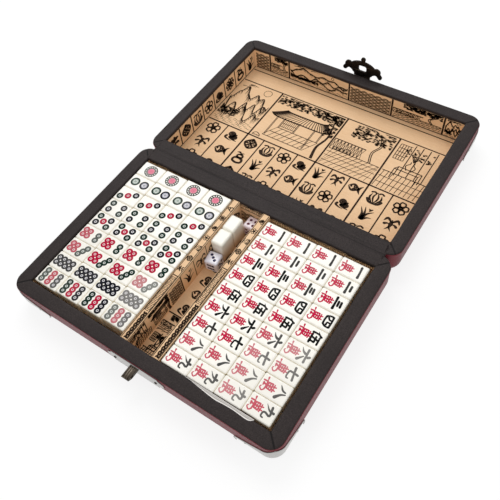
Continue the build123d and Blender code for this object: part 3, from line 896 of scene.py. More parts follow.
def cliffs(pen, rect):
    """Hatched crags over a lake, with a low sun, pines and cloud lines."""
    u0, v0, u1, v1 = rect
    width, height, at = u1 - u0, v1 - v0, places_in(rect)
    count = 26
    for layer, (base, peak) in enumerate(((0.66, 0.34), (0.48, 0.3), (0.3, 0.22))):
        ridge = [(u0 + width * step / count, v0 + height * (base + peak * noise.noise(
            Vector((step * 0.3 + layer * 7.3, layer * 3.1 + 0.5, 2.2))))) for step in range(count + 1)]
        pen.stroke(ridge, 0.7, hold=rect, steps=3)
        for step in range(int(width / 0.95)):
            u = u0 + 0.95 * step + press_chance.uniform(-0.25, 0.25)
            spot = min(int((u - u0) / width * count), count - 1)
            slope = (ridge[spot + 1][1] - ridge[spot][1]) / (width / count)
            top = ridge[spot][1] + slope * (u - ridge[spot][0])
            fall = height * press_chance.uniform(*((0.12, 0.2) if slope < 0 else (0.05, 0.12)))
            hatch = [(u, top - 0.5), (u + 0.9, top - fall * 0.5), (u + 0.7, top - fall)]
            pen.stroke(hatch, 0.42, thin, 3, hold=rect)
    pen.ring(*at(0.74, 0.9), height * 0.07, 0.5)
    for step in range(5):
        u, v = at(press_chance.uniform(0.05, 0.5), press_chance.uniform(0.88, 0.97))
        pen.stroke([(u, v), (u + 4, v + 0.6), (u + 9, v)], 0.42, thin, hold=rect)
    foliage(pen, (*at(0, 0.16), *at(0.5, 0.34)), int(width * 1.6))
    water(pen, (u0, v0, u1, v0 + height * 0.16))


def pavilion(pen, rect):
    """An open hall on a stone terrace, under dense trees."""
    width, at = rect[2] - rect[0], places_in(rect)
    pen.rules(at, 0.5, [(a, b, a + 0.62, b) for a, b in ((0.14, 0.08), (0.20, 0.2), (0.26, 0.32))])
    treads = [0.14 + 0.62 * step / 8 for step in range(9)]
    pen.rules(at, 0.36, [(a, 0.08, a + 0.12, 0.32) for a in treads])
    for a, b in ((0.16, 0.1), (0.74, 0.1), (0.27, 0.32), (0.50, 0.32), (0.86, 0.32)):
        u, foot = at(a, b)
        for side in (u - 0.5, u + 0.5):
            pen.rule((side, foot), (side, at(a, 0.55)[1]), 0.4)
    slats = [0.28 + 0.21 * step / 8 for step in range(9)]
    pen.rules(at, 0.32, [(a, 0.36, a, 0.52) for a in slats])
    pen.rules(at, 0.4, [(0.28, b, 0.49, b) for b in (0.36, 0.44, 0.52)])
    eave = [at(0.04, 0.58), at(0.14, 0.53), at(0.5, 0.53), at(0.84, 0.54), at(0.97, 0.60)]
    ridge = [at(0.22, 0.72), at(0.3, 0.70), at(0.55, 0.70), at(0.76, 0.71), at(0.84, 0.74)]
    pen.stroke(eave, 0.9, hold=rect)
    pen.stroke(ridge, 1.0, hold=rect)
    for low, high in zip(smooth_line(eave, 8), smooth_line(ridge, 8)):
        pen.stroke([low, (low + high) / 2 - Vector((0.2, 0.4)), high], 0.5, hold=rect, steps=3)
    foliage(pen, (*at(0, 0.80), *rect[2:]), int(width * 4))
    foliage(pen, (*at(0.84, 0.5), *rect[2:]), int(width))
    trunk = [at(0.93, 0.0), at(0.9, 0.25), at(0.95, 0.5), at(0.9, 0.85)]
    pen.stroke(trunk, 1.5, (1.3, 0.9, 0.5), hold=rect)
    stones(pen, (*rect[:2], *at(0.2, 0.16)))


def study_room(pen, rect):
    """A room with screens, a lattice window, a low table with a vase and a boarded floor."""
    at = places_in(rect)
    pen.rules(at, 0.6, [(0.0, 0.34, 1.0, 0.34)])
    pen.rules(at, 0.4, [(step * 0.095, 0.0, 0.05 + step * 0.095, 0.34) for step in range(11)])
    pen.rules(at, 0.4, [(0.0, b, 1.0, b) for b in (0.1, 0.22)])
    for a in (0.34, 0.5, 0.66, 0.82):
        pen.rules(at, 0.6, [(a, 0.34, a, 1.0)])
        foliage(pen, (*at(a - 0.13, 0.72), *at(a - 0.02, 0.95)), 7)
    for step in range(5):
        a, b = 0.04 + 0.055 * step, 0.62 + 0.08 * step
        pen.rules(at, 0.45, [(a, 0.62, a, 0.94), (0.04, b, 0.26, b)])
    pen.rules(at, 0.6, [(a, b - 0.2, a, b) for a, b in ((0.2, 0.44), (0.7, 0.44), (0.26, 0.5),
                                                        (0.76, 0.5))])
    table = [at(0.2, 0.44), at(0.7, 0.44), at(0.76, 0.5), at(0.26, 0.5), at(0.2, 0.44)]
    pen.stroke(table, 0.6, steps=1, hold=rect)
    for foot, belly, neck in ((0.42, 0.37, 0.43), (0.52, 0.57, 0.51)):
        vase = [at(foot, 0.48), at(belly, 0.56), at(neck, 0.62), at(neck, 0.66)]
        pen.stroke(vase, 0.6, hold=rect)
    for index in range(5):
        a = 0.3 + index * 0.09
        pen.stroke([at(0.47, 0.66), at((a + 0.47) / 2, 0.78), at(a, 0.84)], 0.7, leaf, hold=rect)
        pen.dot(*at(a, 0.86), 0.8)


def garden(pen, rect):
    """A paved terrace, a lattice fence, a pine and rocks."""
    u0, v0, u1, v1 = rect
    width, at = u1 - u0, places_in(rect)
    horizon = at(0, 0.34)[1]
    fence_end, fence = at(0.62, 0.56)
    pen.rule((u0, horizon), (u1, horizon), 0.5)
    for step in range(int(width / 5) + 8):
        foot = u0 - 20 + step * 5
        pen.stroke([(foot, v0), (foot + 14, horizon)], 0.36, steps=1, hold=rect, round_ends=False)
    for share in (0.25, 0.55, 0.8):
        v = v0 + (horizon - v0) * share
        pen.rule((u0, v), (u1, v), 0.36)
    pen.rule((u0, fence), (fence_end, fence), 0.7)
    for step in range(int(width * 0.62 / 3.4)):
        a = u0 + 3.4 * step
        pen.rule((a, horizon), (a, fence), 0.4)
        pen.rule((a, fence), (a + 3.4, horizon), 0.32)
        pen.rule((a, horizon), (a + 3.4, fence), 0.32)
    trunk = [at(0.8, 0.34), at(0.74, 0.55), at(0.82, 0.74), at(0.7, 0.94)]
    for shift in (-0.8, 0.8):
        pen.stroke([(u + shift, v) for u, v in trunk], 0.6, hold=rect)
    foliage(pen, (*at(0.2, 0.70), u1, v1), int(width * 3))
    stones(pen, (*at(0.05, 0.34), *at(0.5, 0.56)))


def scale_waves(pen, rect, radius):
    """Rows of overlapping fan-shaped waves."""
    u0, v0, u1, v1 = rect
    for row in range(max(1, int((v1 - v0 - radius * 0.6) / (radius * 0.5)))):
        v = v0 + row * radius * 0.5
        u = u0 + (radius if row % 2 else 0.0)
        while u < u1 + radius:
            for reach in (radius * 1.0, radius * 0.72, radius * 0.42):
                fan = [(u + reach * cos(pi * step / 6), v + reach * 0.62 * sin(pi * step / 6))
                       for step in range(7)]
                pen.stroke(fan, 0.34, steps=1, hold=rect, round_ends=False)
            u += 2 * radius


def fret_border(pen, rect, pitch):
    """A key-pattern strip between two lines."""
    u0, v0, u1, v1 = rect
    for v in (v0, v1):
        pen.rule((u0, v), (u1, v), 0.5)
    count = max(1, int((u1 - u0) / pitch))
    step = (u1 - u0) / count
    low, high = v0 + (v1 - v0) * 0.18, v1 - (v1 - v0) * 0.18
    inner = (high - low) * 0.32
    for index in range(count):
        turns = [(u0 + index * step + step * share, v) for share, v in (
            (0.08, low), (0.08, high), (0.85, high), (0.85, low), (0.35, low),
            (0.35, high - inner), (0.62, high - inner), (0.62, low + inner))]
        pen.stroke(turns, 0.42, steps=1, round_ends=False, hold=rect)


def emblem_cells(pen, rect, count, rows, first, size, line=0.5, weight=1.0):
    """Ruled cells side by side, each with a column of emblems."""
    u0, v0, u1, v1 = rect
    pitch = (u1 - u0) / count
    for cell in range(count):
        if cell:
            pen.rule((u0 + cell * pitch, v0), (u0 + cell * pitch, v1), line)
        for row in range(rows):
            v = v1 - (row + 0.5) * (v1 - v0) / rows + press_chance.uniform(-0.6, 0.6)
            add_emblem(pen, first + cell * 3 + row * 5, u0 + (cell + 0.5) * pitch, v, size, weight)


def tray_sheets(low, high, top):
    """A tray's floor, its two long walls and its two short ones, their spans and their height."""
    z = high.z
    rise = (0, 0, 1)
    return (((low.x, low.y, z), (1, 0, 0), (0, 1, 0)),
            [((low.x, high.y, z), (1, 0, 0), rise), ((high.x, low.y, z), (-1, 0, 0), rise)],
            [((low.x, low.y, z), (0, 1, 0), rise), ((high.x, high.y, z), (0, -1, 0), rise)],
            high.x - low.x, high.y - low.y, top - z)


pen = Pen(1.5)
floor, long_walls, short_walls, span_x, span_y, wall_top = tray_sheets(
    lid_lining_low, lid_lining_high, lid_rim_high.z - inner_turn)
cell_top = 60.0
picture_top = 122.0
pen.on(*floor)
for v, line in ((cell_top, 0.95), (picture_top, 0.8), (picture_top + 17.0, 0.7)):
    pen.rule((0.8, v), (span_x - 0.8, v), line)
for start, end, draw in ((0.0, 46.0, cliffs), (46.0, 118.0, pavilion), (118.0, 171.0, garden),
                         (171.0, span_x, study_room)):
    if start:
        pen.rule((start, 1.0), (start, picture_top), 1.1)
    draw(pen, (start + 1.6, cell_top + 1.6, end - 1.6, picture_top - 1.6))
for start, end, columns, first, size in ((1.0, 46.0, 2, 0, 14.0), (46.0, 118.0, 4, 4, 13.0),
                                         (118.0, 171.0, 3, 2, 13.0), (171.0, span_x - 1.0, 2, 7, 14.0)):
    emblem_cells(pen, (start, 2.0, end, cell_top), columns, 3, first, size, 0.8, 1.3)
for wall, parts in zip(long_walls, ((0, 18, 40, 106, 150, 200, span_x),
                                    (0, 30, 80, 120, 176, 205, span_x))):
    pen.on(*wall)
    pen.rule((0.8, 0.5), (span_x - 0.8, 0.5), 0.7)
    for index, (start, end) in enumerate(zip(parts, parts[1:])):
        if start:
            pen.rule((start, 0.6), (start, wall_top), 1.2)
        rect = (start + 1.4, 0.9, end - 1.4, wall_top)
        if index % 3:
            (garden, cliffs)[index % 3 - 1](pen, rect)
        else:
            scale_waves(pen, rect, 3.6)
for wall in short_walls:
    pen.on(*wall)
    pen.rule((0.8, 0.5), (span_y - 0.8, 0.5), 0.7)
    emblem_cells(pen, (0.8, 1.0, span_y - 0.8, wall_top), 8, 1, 1, 13.0, 0.9, 1.4)
belong(pen.piece("lid_print", ink_finish), "lid", "printed_paper")

pen = Pen(1.4)
floor, long_walls, short_walls, span_x, span_y, wall_top = tray_sheets(
    lining_low, lining_high, rim_high.z - inner_turn)
left_low, left_high = node_box("left_divider")
right_low, right_high = node_box("right_divider")
bay_left = left_high.x - lining_low.x
bay_right = right_low.x - lining_low.x
pen.on(*floor)
study_room(pen, (bay_left + 0.6, 1.0, bay_right - 0.6, 24.0))
garden(pen, (bay_left + 0.6, 24.8, bay_right - 0.6, 41.0))
pen.rule((bay_left, 41.8), (bay_right, 41.8), 0.8)
emblem_cells(pen, (bay_left, 42.4, bay_right, span_y - 1.0), 1, 7, 3, 12.5, weight=1.2)
for start, end in ((1.0, left_low.x - lining_low.x - 1),
                   (right_high.x - lining_low.x + 1, span_x - 1)):
    emblem_cells(pen, (start, 1.0, end, span_y - 1.0), 5, 7, 6, 11.5)
for wall in long_walls:
    pen.on(*wall)
    fret_border(pen, (1.0, wall_top - 5.0, span_x - 1.0, wall_top - 0.5), 6.0)
    scale_waves(pen, (1.0, 0.6, span_x - 1.0, wall_top - 6.0), 4.4)
for wall in short_walls:
    pen.on(*wall)
    fret_border(pen, (1.0, wall_top - 5.0, span_y - 1.0, wall_top - 0.5), 6.0)
    emblem_cells(pen, (1.0, 0.6, span_y - 1.0, wall_top - 6.0), 10, 1, 4, 10.0)
rise = left_high.z - lining_high.z
for low, high in ((left_low, left_high), (right_low, right_high)):
    for x, y, way in ((high.x, lining_low.y, 1), (low.x, lining_high.y, -1)):
        pen.on((x, y, lining_high.z), (0, way, 0), (0, 0, 1))
        pen.rule((0.6, rise - 0.7), (span_y - 0.6, rise - 0.7), 0.5)
        pen.rule((62.0, 0.5), (62.0, rise - 0.5), 0.9)
        study_room(pen, (1.0, 0.8, 22.0, rise - 1.2))
        pavilion(pen, (22.8, 0.8, 46.0, rise - 1.2))
        scale_waves(pen, (46.8, 0.8, 61.0, rise - 1.2), 3.2)
        emblem_cells(pen, (62.6, 0.8, span_y - 1.0, rise - 1.2), 5, 1, 2, 13.0)
for low, high, split in ((left_low, left_high, 60.0), (right_low, right_high, 84.0)):
    pen.on((high.x, low.y, high.z), (0, 1, 0), (-1, 0, 0))
    depth = high.x - low.x
    for v in (0.8, depth - 0.8):
        pen.rule((0.6, v), (span_y - 0.6, v), 0.4)
    fret_border(pen, (split - 34.0, 1.1, split, depth - 1.1), 4.6)
    scale_waves(pen, (1.0, 1.0, split - 35.0, depth - 1.0), 2.0)
    pen.rule((split + 1.0, 0.8), (split + 1.0, depth - 0.8), 0.6)
    for index in range(int((span_y - split - 4) / 11.0)):
        add_emblem(pen, index * 3 + 1, split + 8 + index * 11.0, depth / 2, 5.4, 1.2)
belong(pen.piece("base_print", ink_finish), "base", "printed_paper")


# Metalwork
# Bright caps and strike plate of nickelled sheet, and a hasp, mount, pin and staple of dark
# bronze, all fixed with small dome nails.

nickel_finish, shader, _, mask = mottled("nickel", (0.62, 0.61, 0.59), 0.26, 90.0, 2400.0, 0.4,
                                         Metallic=1.0)
feed(shader, Base_Color=tone_ramp(mask, (0.38, 0.37, 0.36), (0.58, 0.57, 0.55)),
     Roughness=spread(mask, 0.16, 0.42))
raise_surface(shader, mask, 0.00006, 0.6)

bronze_finish, shader, _, mask = mottled("dark_bronze", (0.05, 0.042, 0.035), 0.42, 260.0, 2600.0,
                                         0.5, Metallic=0.85)
rubbed = narrow(add_node(shader, "NewGeometry").outputs["Pointiness"], 0.53, 0.66)
feed(shader, Base_Color=colour_mix(rubbed, tone_ramp(mask, (0.012, 0.009, 0.008), (0.04, 0.031, 0.026)),
                                   (0.16, 0.13, 0.10, 1.0)), Roughness=spread(mask, 0.3, 0.55))
raise_surface(shader, mask, 0.0001, 0.7)

dress(nickel_finish, "base_corner_caps", "lid_corner_caps", "base_cap_nails", "lid_cap_nails")
dress(bronze_finish, "strike_nails", "hasp_nails", "hasp_pin")

sharp = radians(35)


def rounded_copy(node, body, width, finish, slot):
    """A CAD node's shape again with its edges rounded over."""
    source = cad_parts[node]
    mesh = source.data.copy()
    mesh.transform(source.matrix_world)
    work = bmesh.new()
    work.from_mesh(mesh)
    bmesh.ops.remove_doubles(work, verts=work.verts, dist=0.000002)
    bmesh.ops.dissolve_limit(work, angle_limit=radians(0.5), verts=work.verts, edges=work.edges)
    work.to_mesh(mesh)
    work.free()
    mesh.materials.clear()
    mesh.materials.append(finish)
    piece = new_object(f"{node}_rounded", mesh)
    rounding = piece.modifiers.new("rounding", "BEVEL")
    rounding.width = width * mm
    rounding.segments = 3
    rounding.limit_method = "ANGLE"
    rounding.angle_limit = sharp
    settle(piece)
    piece.data.polygons.foreach_set("use_smooth", [True] * len(piece.data.polygons))
    piece.data.set_sharp_from_angle(angle=sharp)
    belong(piece, body, slot, node)


rounded_copy("strike_plate", "base", 0.25, nickel_finish, "nickel")
rounded_copy("lock_staple", "base", 0.3, bronze_finish, "dark_bronze")
rounded_copy("hasp_mount", "lid", 0.2, bronze_finish, "dark_bronze")
rounded_copy("hasp", "hasp_plate", 0.28, bronze_finish, "dark_bronze")
rounded_copy("left_divider", "base", 0.5, paper_finish, "printed_paper")
rounded_copy("right_divider", "base", 0.5, paper_finish, "printed_paper")

# The caps' swept upper edges are rolled
cap_reach = 34.0
cap_face = 0.42
cap_roll = 0.3
cap_top_drop = 4.6
cap_tail = ((2.1, 5.0), (0.0, 7.75), (2.1, 10.5))
cap_knee = (15.3, 14.5)


def circle_through(a, b, c):
    """Centre and radius of the circle through three points."""
    (ax, ay), (bx, by), (cx, cy) = a, b, c
    twice = 2 * (ax * (by - cy) + bx * (cy - ay) + cx * (ay - by))
    a2, b2, c2 = ax * ax + ay * ay, bx * bx + by * by, cx * cx + cy * cy
    x = (a2 * (by - cy) + b2 * (cy - ay) + c2 * (ay - by)) / twice
    y = (a2 * (cx - bx) + b2 * (ax - cx) + c2 * (bx - ax)) / twice
    return x, y, hypot(ax - x, ay - y)


def cap_edge(height):
    """One side's upper edge from the cap's far end to the corner: (reach, height)."""
    (start, low), _, (_, high) = cap_tail
    x, y, radius = circle_through(*cap_tail)
    line = [(x - sqrt(max(radius ** 2 - (z - y) ** 2, 0)), z)
            for z in (low + (high - low) * step / 8 for step in range(8))]
    x, y, radius = circle_through(cap_tail[2], cap_knee, (cap_reach, height - cap_top_drop))
    line += [(u, y - sqrt(radius ** 2 - (u - x) ** 2))
             for u in (start + (cap_reach - start) * step / 30 for step in range(31))]
    return line


def cap_lines(height, centre_y, front):
    """The rolled edges of one half's two caps; front is -1 or 1."""
    straight = cap_reach - case_corner
    reach = case_corner + cap_face
    run = [(u, z) for u, z in cap_edge(height) if u <= straight]
    turn = [(pi / 4 * ((u - straight) / case_corner), z) for u, z in cap_edge(height) if u > straight]
    line = [(half_width - cap_reach + u, half_depth + cap_face, z) for u, z in run]
    line += [(half_width - case_corner + reach * sin(angle),
              half_depth - case_corner + reach * cos(angle), z) for angle, z in turn]
    line += [(half_width - case_corner + reach * cos(angle),
              half_depth - case_corner + reach * sin(angle), z) for angle, z in reversed(turn)]
    line += [(half_width + cap_face, half_depth - cap_reach + u, z) for u, z in reversed(run)]
    return [[(side * x, centre_y + front * y, z) for x, y, z in line] for side in (-1, 1)]


for half, top, centre_y, hinge_sign, seed in halves:
    roll = bead(f"{half}_cap_roll", cap_lines(top, centre_y, -hinge_sign), cap_roll, nickel_finish)
    belong(roll, half, "nickel")


# Tiles
# Ivory resin blocks with rounded edges, polished on their faces, in two layers of two blocks
# and two blanks that stand in the middle compartment.

resin_finish, shader, _, mask = mottled("tile_resin", (0.92, 0.91, 0.85), 0.28, 60.0, 500.0, 0.25,
                                        Coat_Weight=0.3, Coat_Roughness=0.08)
# Painted shade: faces that turn away from the top, the tiles' sides and the joints between them, are
# painted a warmer, deeper cream than the tops.
facing = add_node(shader, "SeparateXYZ", in_Vector=add_node(shader, "TexCoord").outputs["Normal"])
feed(shader, Base_Color=colour_mix(
    spread(facing.outputs["Z"], -0.35, 1.9), (0.92, 0.84, 0.64, 1.0),
    tone_ramp(mask, (0.935, 0.90, 0.81), (0.97, 0.945, 0.875))), Roughness=spread(mask, 0.22, 0.36))
raise_surface(shader, mask, 0.0001, 0.25)
ranks = range(1, 10)
dress(resin_finish, *[f"{suit}_tiles_{rank}" for suit in ("circle", "character") for rank in ranks],
      "bamboo_tiles", "wind_tiles", "dragon_tiles", "flower_tiles")

spare_shaded_finish, shader, place, mask = mottled("spare_resin", (0.92, 0.9, 0.82), 0.3, 80.0, 600.0, 0.25,
                                            Coat_Weight=0.3, Coat_Roughness=0.1)
# Painted shade: the blank blocks are painted from brown at their feet up to cream at their tops, where
# the compartment's shade falls down their sides.
height = add_node(shader, "SeparateXYZ", in_Vector=place).outputs["Z"]
shade_level = narrow(height, 0.004, 0.0245, interpolation_type="SMOOTHSTEP")
feed(shader, Base_Color=tone_ramp(shade_level, (0.64, 0.44, 0.27), (0.95, 0.92, 0.82), 0.0, 0.85))
raise_surface(shader, mask, 0.0001, 0.25)


def rounded_block(name, centre, spans, radius, finish, cells, turn=0.0, pips=()):
    """A block with rounded edges as one closed mesh, in millimetres.

    A pip is (axis, sign, u, v, radius, depth): a hollow on one face. The attribute of the same
    name tells the material how far inside a pip a point lies.
    """
    half = Vector(spans) / 2
    numbers, points, marks, faces = {}, [], [], []

    def number_of(spot, axis, sign):
        core = Vector([min(max(c, radius - h), h - radius) for c, h in zip(spot, half)])
        point = core + (spot - core).normalized() * radius
        key = tuple(round(c, 3) for c in point)
        if key not in numbers:
            inside = -1.0
            a, b = [c for k, c in enumerate(point) if k != axis]
            for pip_axis, pip_sign, u, v, pip_radius, depth in pips:
                if (pip_axis, pip_sign) == (axis, sign):
                    gap = hypot(a - u, b - v) / pip_radius
                    inside = max(inside, 1 - gap)
                    point[axis] -= sign * depth * max(0.0, 1 - gap * gap)
            numbers[key] = len(points)
            points.append(point)
            marks.append(inside)
        return numbers[key]

    shares = [2 * step / cells - 1 for step in range(cells + 1)]
    for axis in range(3):
        for sign in (-1, 1):
            grid = []
            for i in shares:
                grid.append([])
                for j in shares:
                    spot = [i, j]
                    spot.insert(axis, sign)
                    spot = Vector([h * share for h, share in zip(half, spot)])
                    grid[-1].append(number_of(spot, axis, sign))
            flip = (sign > 0) == (axis == 1)
            for row, after in zip(grid, grid[1:]):
                for quad in zip(row, after, after[1:], row[1:]):
                    faces.append(quad[::-1] if flip else quad)
    spin = Matrix.Rotation(radians(turn), 3, "Z")
    piece = new_piece(name, [spin @ point + Vector(centre) for point in points], faces, finish)
    mark_points(piece, "pip", marks)
    return piece


spare_low, spare_high = node_box("spare_tiles")
tile_gap = 0.1
tile_wide = (spare_high.y - spare_low.y - tile_gap) / 2
spare_span = (spare_high.x - spare_low.x, tile_wide, spare_high.z - spare_low.z)
spare_blocks = []
for start in (spare_low.y, spare_high.y - tile_wide):
    middle = ((spare_low.x + spare_high.x) / 2, start + tile_wide / 2,
              (spare_low.z + spare_high.z) / 2)
    spare_blocks.append(rounded_block("spare_block", middle, spare_span, 1.9, spare_shaded_finish, 20))
belong(join_pieces("spare_blocks", spare_blocks), "spare_pair", "tile_resin", "spare_tiles")


# Tile marks
# Each mark is cut into the face and filled with enamel: circles on the left block, numerals
# over their sign on the right block. One tile's mark is drawn and repeated along its row.

enamel_finish, shader, _, mask = mottled("mark_enamel", (0.1, 0.1, 0.1), 0.5, 450.0, 3000.0, 0.5,
                                         Specular_IOR_Level=0.08)
paint = add_node(shader, "Attribute", attribute_name="paint").outputs["Color"]
thinness = add_node(shader, "Attribute", attribute_name="thinness").outputs["Fac"]
uneven = add_node(shader, "Math", operation="MULTIPLY", use_clamp=True, in_0=spread(mask, 0.5, 1.5),
                  in_1=thinness)
feed(shader, Base_Color=colour_mix(uneven, paint, (0.9, 0.86, 0.8, 1.0)))

# Repeats one tile's mark along its row, each tile a little further back than the last one and
# painted as thinly as its own value says
tile_columns = 4
thinness_labels = [f"Thinness {tile + 1}" for tile in range(tile_columns)]
given, row_tree = new_group("tile_row", [
    ("Geometry", "Geometry"), ("Tiles", "Int"), ("Pitch", "Float"), ("Step Back", "Float"),
    *[(label, "Float") for label in thinness_labels], ("Finish", "Material")],
    [("Geometry", "Geometry")], "GeometryNodeTree")
step = add_node(row_tree, "CombineXYZ", in_X=given["Pitch"], in_Y=given["Step Back"])
line = add_node(row_tree, "GeometryNodeMeshLine", mode="OFFSET", in_Count=given["Tiles"], in_Offset=step)
tiles = add_node(row_tree, "GeometryNodeInstanceOnPoints", in_Points=line, in_Instance=given["Geometry"])
pick = add_node(row_tree, "GeometryNodeIndexSwitch", data_type="FLOAT",
                in_Index=add_node(row_tree, "GeometryNodeInputIndex"))
for tile in range(tile_columns - 2):
    pick.index_switch_items.new()
feed(pick, **{str(tile): given[label] for tile, label in enumerate(thinness_labels, 1)})
close_tree(row_tree, add_node(row_tree, "GeometryNodeStoreNamedAttribute", data_type="FLOAT",
                              domain="INSTANCE", in_Name="thinness", in_Geometry=tiles,
                              in_Value=pick), given["Finish"])

row_low, row_high = node_box("circle_tiles_9")
tile_long = (row_high.x - row_low.x + tile_gap) / tile_columns - tile_gap
tile_pitch = (tile_long + tile_gap) * mm
mark_lift = 0.05
mark_dish = 0.04
disc_sink = 0.01
green = (0.004, 0.022, 0.014)
navy = (0.004, 0.005, 0.010)
black = (0.004, 0.005, 0.005)
crimson = (0.46, 0.004, 0.04)
sign_red = (0.58, 0.008, 0.06)
enamel_white = (0.82, 0.81, 0.78)
pale_pink = (0.84, 0.24, 0.34)
bright_paint = {green: (0.19, 0.27, 0.23), navy: (0.33, 0.32, 0.39), crimson: (0.68, 0.09, 0.17)}
pale_paint = {green: (0.44, 0.52, 0.46), navy: (0.50, 0.50, 0.58)}


def tile_pen(x, y, z, lift=mark_lift, dish=mark_dish):
    """A pen on the face of the tile with this corner: u along it, v across it, from its middle."""
    pen = Pen(1.0, lift, dish)
    pen.on((x + tile_long / 2, y + tile_wide / 2, z), (1, 0, 0), (0, 1, 0))
    return pen


def tile_row(name, pen, box, fades):
    """What was drawn on one tile, set on every tile of its row; fades are hundredths."""
    row = pen.piece(name, enamel_finish)
    step_back = (box[1].y - box[0].y - tile_wide) / (tile_columns - 1)
    thinness = {label.replace(" ", "_"): fade / 100 for label, fade in zip(thinness_labels, fades)}
    grow(row, row_tree, Tiles=tile_columns, Pitch=tile_pitch, Step_Back=step_back * mm,
         Finish=enamel_finish, **thinness)
    return row


def spokes(pen, u, v, count, first, shares, width, paints, press=even):
    """Short strokes round a centre: where they start, and how far they reach along u and v."""
    start, end_u, end_v = shares
    for step in range(count):
        angle = 2 * pi * (step + first) / count
        pen.stroke([(u + start * cos(angle), v + start * sin(angle)),
                    (u + end_u * cos(angle), v + end_v * sin(angle))],
                   width, press, 1, paint=paints[step % len(paints)])


def pip(pen, u, v, radius, paint):
    """A circle mark: a bold ring round a paler disc with a small eye."""
    pen.dot(u, v, radius * 0.5, bright_paint[paint], disc_sink, 14)
    pen.ring(u, v, radius * 0.78, radius * 0.62, paint)
    pen.ring(u, v, radius * 0.33, radius * 0.16, enamel_white, 0.0, 14)
    pen.dot(u, v, radius * 0.17, paint, 0.0, 8)


def large_pip(pen, u, v, radius, paint):
    """The larger circle of rank two: a bold ring round a patterned disc."""
    pen.dot(u, v, radius * 0.68, pale_paint[paint], disc_sink, 28)
    pen.ring(u, v, radius * 0.84, radius * 0.36, paint, sides=28)
    spokes(pen, u, v, 8, 0, (radius * 0.50, radius * 0.66, radius * 0.62), radius * 0.14, [paint])
    pen.ring(u, v, radius * 0.38, radius * 0.12, enamel_white, 0.0, 18)
    pen.ring(u, v, radius * 0.15, radius * 0.14, paint, sides=12)


def rosette(pen, radius):
    """The great circle of rank one: a beaded rim round a rose of petals."""
    pen.ring(0, 0, radius * 0.945, radius * 0.13, green, sides=36)
    pen.ring(0, 0, radius * 0.60, radius * 0.12, green, sides=30)
    spokes(pen, 0, 0, 14, 0, (radius * 0.64, radius * 0.92, radius * 0.92), radius * 0.17, [green, navy])
    pen.dot(0, 0, radius * 0.5, pale_pink, disc_sink, 24)
    spokes(pen, 0, 0, 8, 0.5, (radius * 0.22, radius * 0.48, radius * 0.48), radius * 0.11, [crimson],
           (0.6, 1.0, 1.2))
    pen.ring(0, 0, radius * 0.11, radius * 0.09, crimson, sides=14)


def grid_of(us, vs):
    """Every place with one of the lengths along and one of those across."""
    return [(u, v) for u in us for v in vs]


small, middling = 2.5, 2.72
cluster = [(-5.0 + a * 2.15, b * 2.42, crimson) for a, b in grid_of((-1, 1), (-1, 1))]
circle_places = {
    3: [(-6.6, -3.1, green), (-0.3, 0.1, crimson), (5.8, 3.4, navy)],
    4: [(-5.7, 3.4, green), (-5.7, -3.4, navy), (5.6, 3.4, navy), (5.6, -3.4, green)],
    5: [(-6.2, 3.45, green), (-6.2, -3.45, navy), (-0.7, 0, crimson), (4.9, 3.45, navy),
        (4.9, -3.45, green)],
    6: cluster + [(5.8, 2.35, green), (5.8, -2.35, green)],
    7: cluster + [(2.6, -3.6, green), (4.7, 0.1, green), (6.8, 3.75, green)],
    8: [(-7.3 + 4.55 * a, 2.35 * b, navy) for a, b in grid_of(range(4), (-1, 1))],
    9: [(a * 6.3 - 0.3, b * 4.1, paint) for a, paint in ((-1, green), (0, crimson), (1, navy))
        for b in (-1, 0, 1)]}
# How thinly each rank's four tiles are painted, from left to right, in hundredths
circle_fades = [(4, 4, 3, 0), (3, 0, 4, 2), (2, 0, 0, 0), (5, 0, 1, 1), (2, 0, 1, 0), (12, 0, 1, 0),
                (12, 0, 0, 28), (6, 2, 0, 24), (12, 3, 0, 20)]
character_fades = [(4, 7, 6, 8), (6, 5, 5, 5), (0, 0, 4, 0), (0, 0, 0, 0), (0, 0, 0, 0), (0, 0, 10, 28),
                   (3, 0, 22, 22), (10, 8, 22, 14), (8, 12, 28, 12)]

rows = []
for rank, fades in zip(ranks, circle_fades):
    low, high = node_box(f"circle_tiles_{rank}")
    pen = tile_pen(low.x, low.y, high.z)
    if rank == 1:
        rosette(pen, 5.95)
    elif rank == 2:
        large_pip(pen, -4.8, 0, 4.15, green)
        large_pip(pen, 4.7, 0, 4.15, navy)
    else:
        for u, v, paint in circle_places[rank]:
            pip(pen, u, v, middling if rank < 6 else small, paint)
    rows.append(tile_row(f"circle_row_{rank}", pen, (low, high), fades))
belong(join_pieces("circle_marks", rows), "left_upper_layer", "tile_resin")

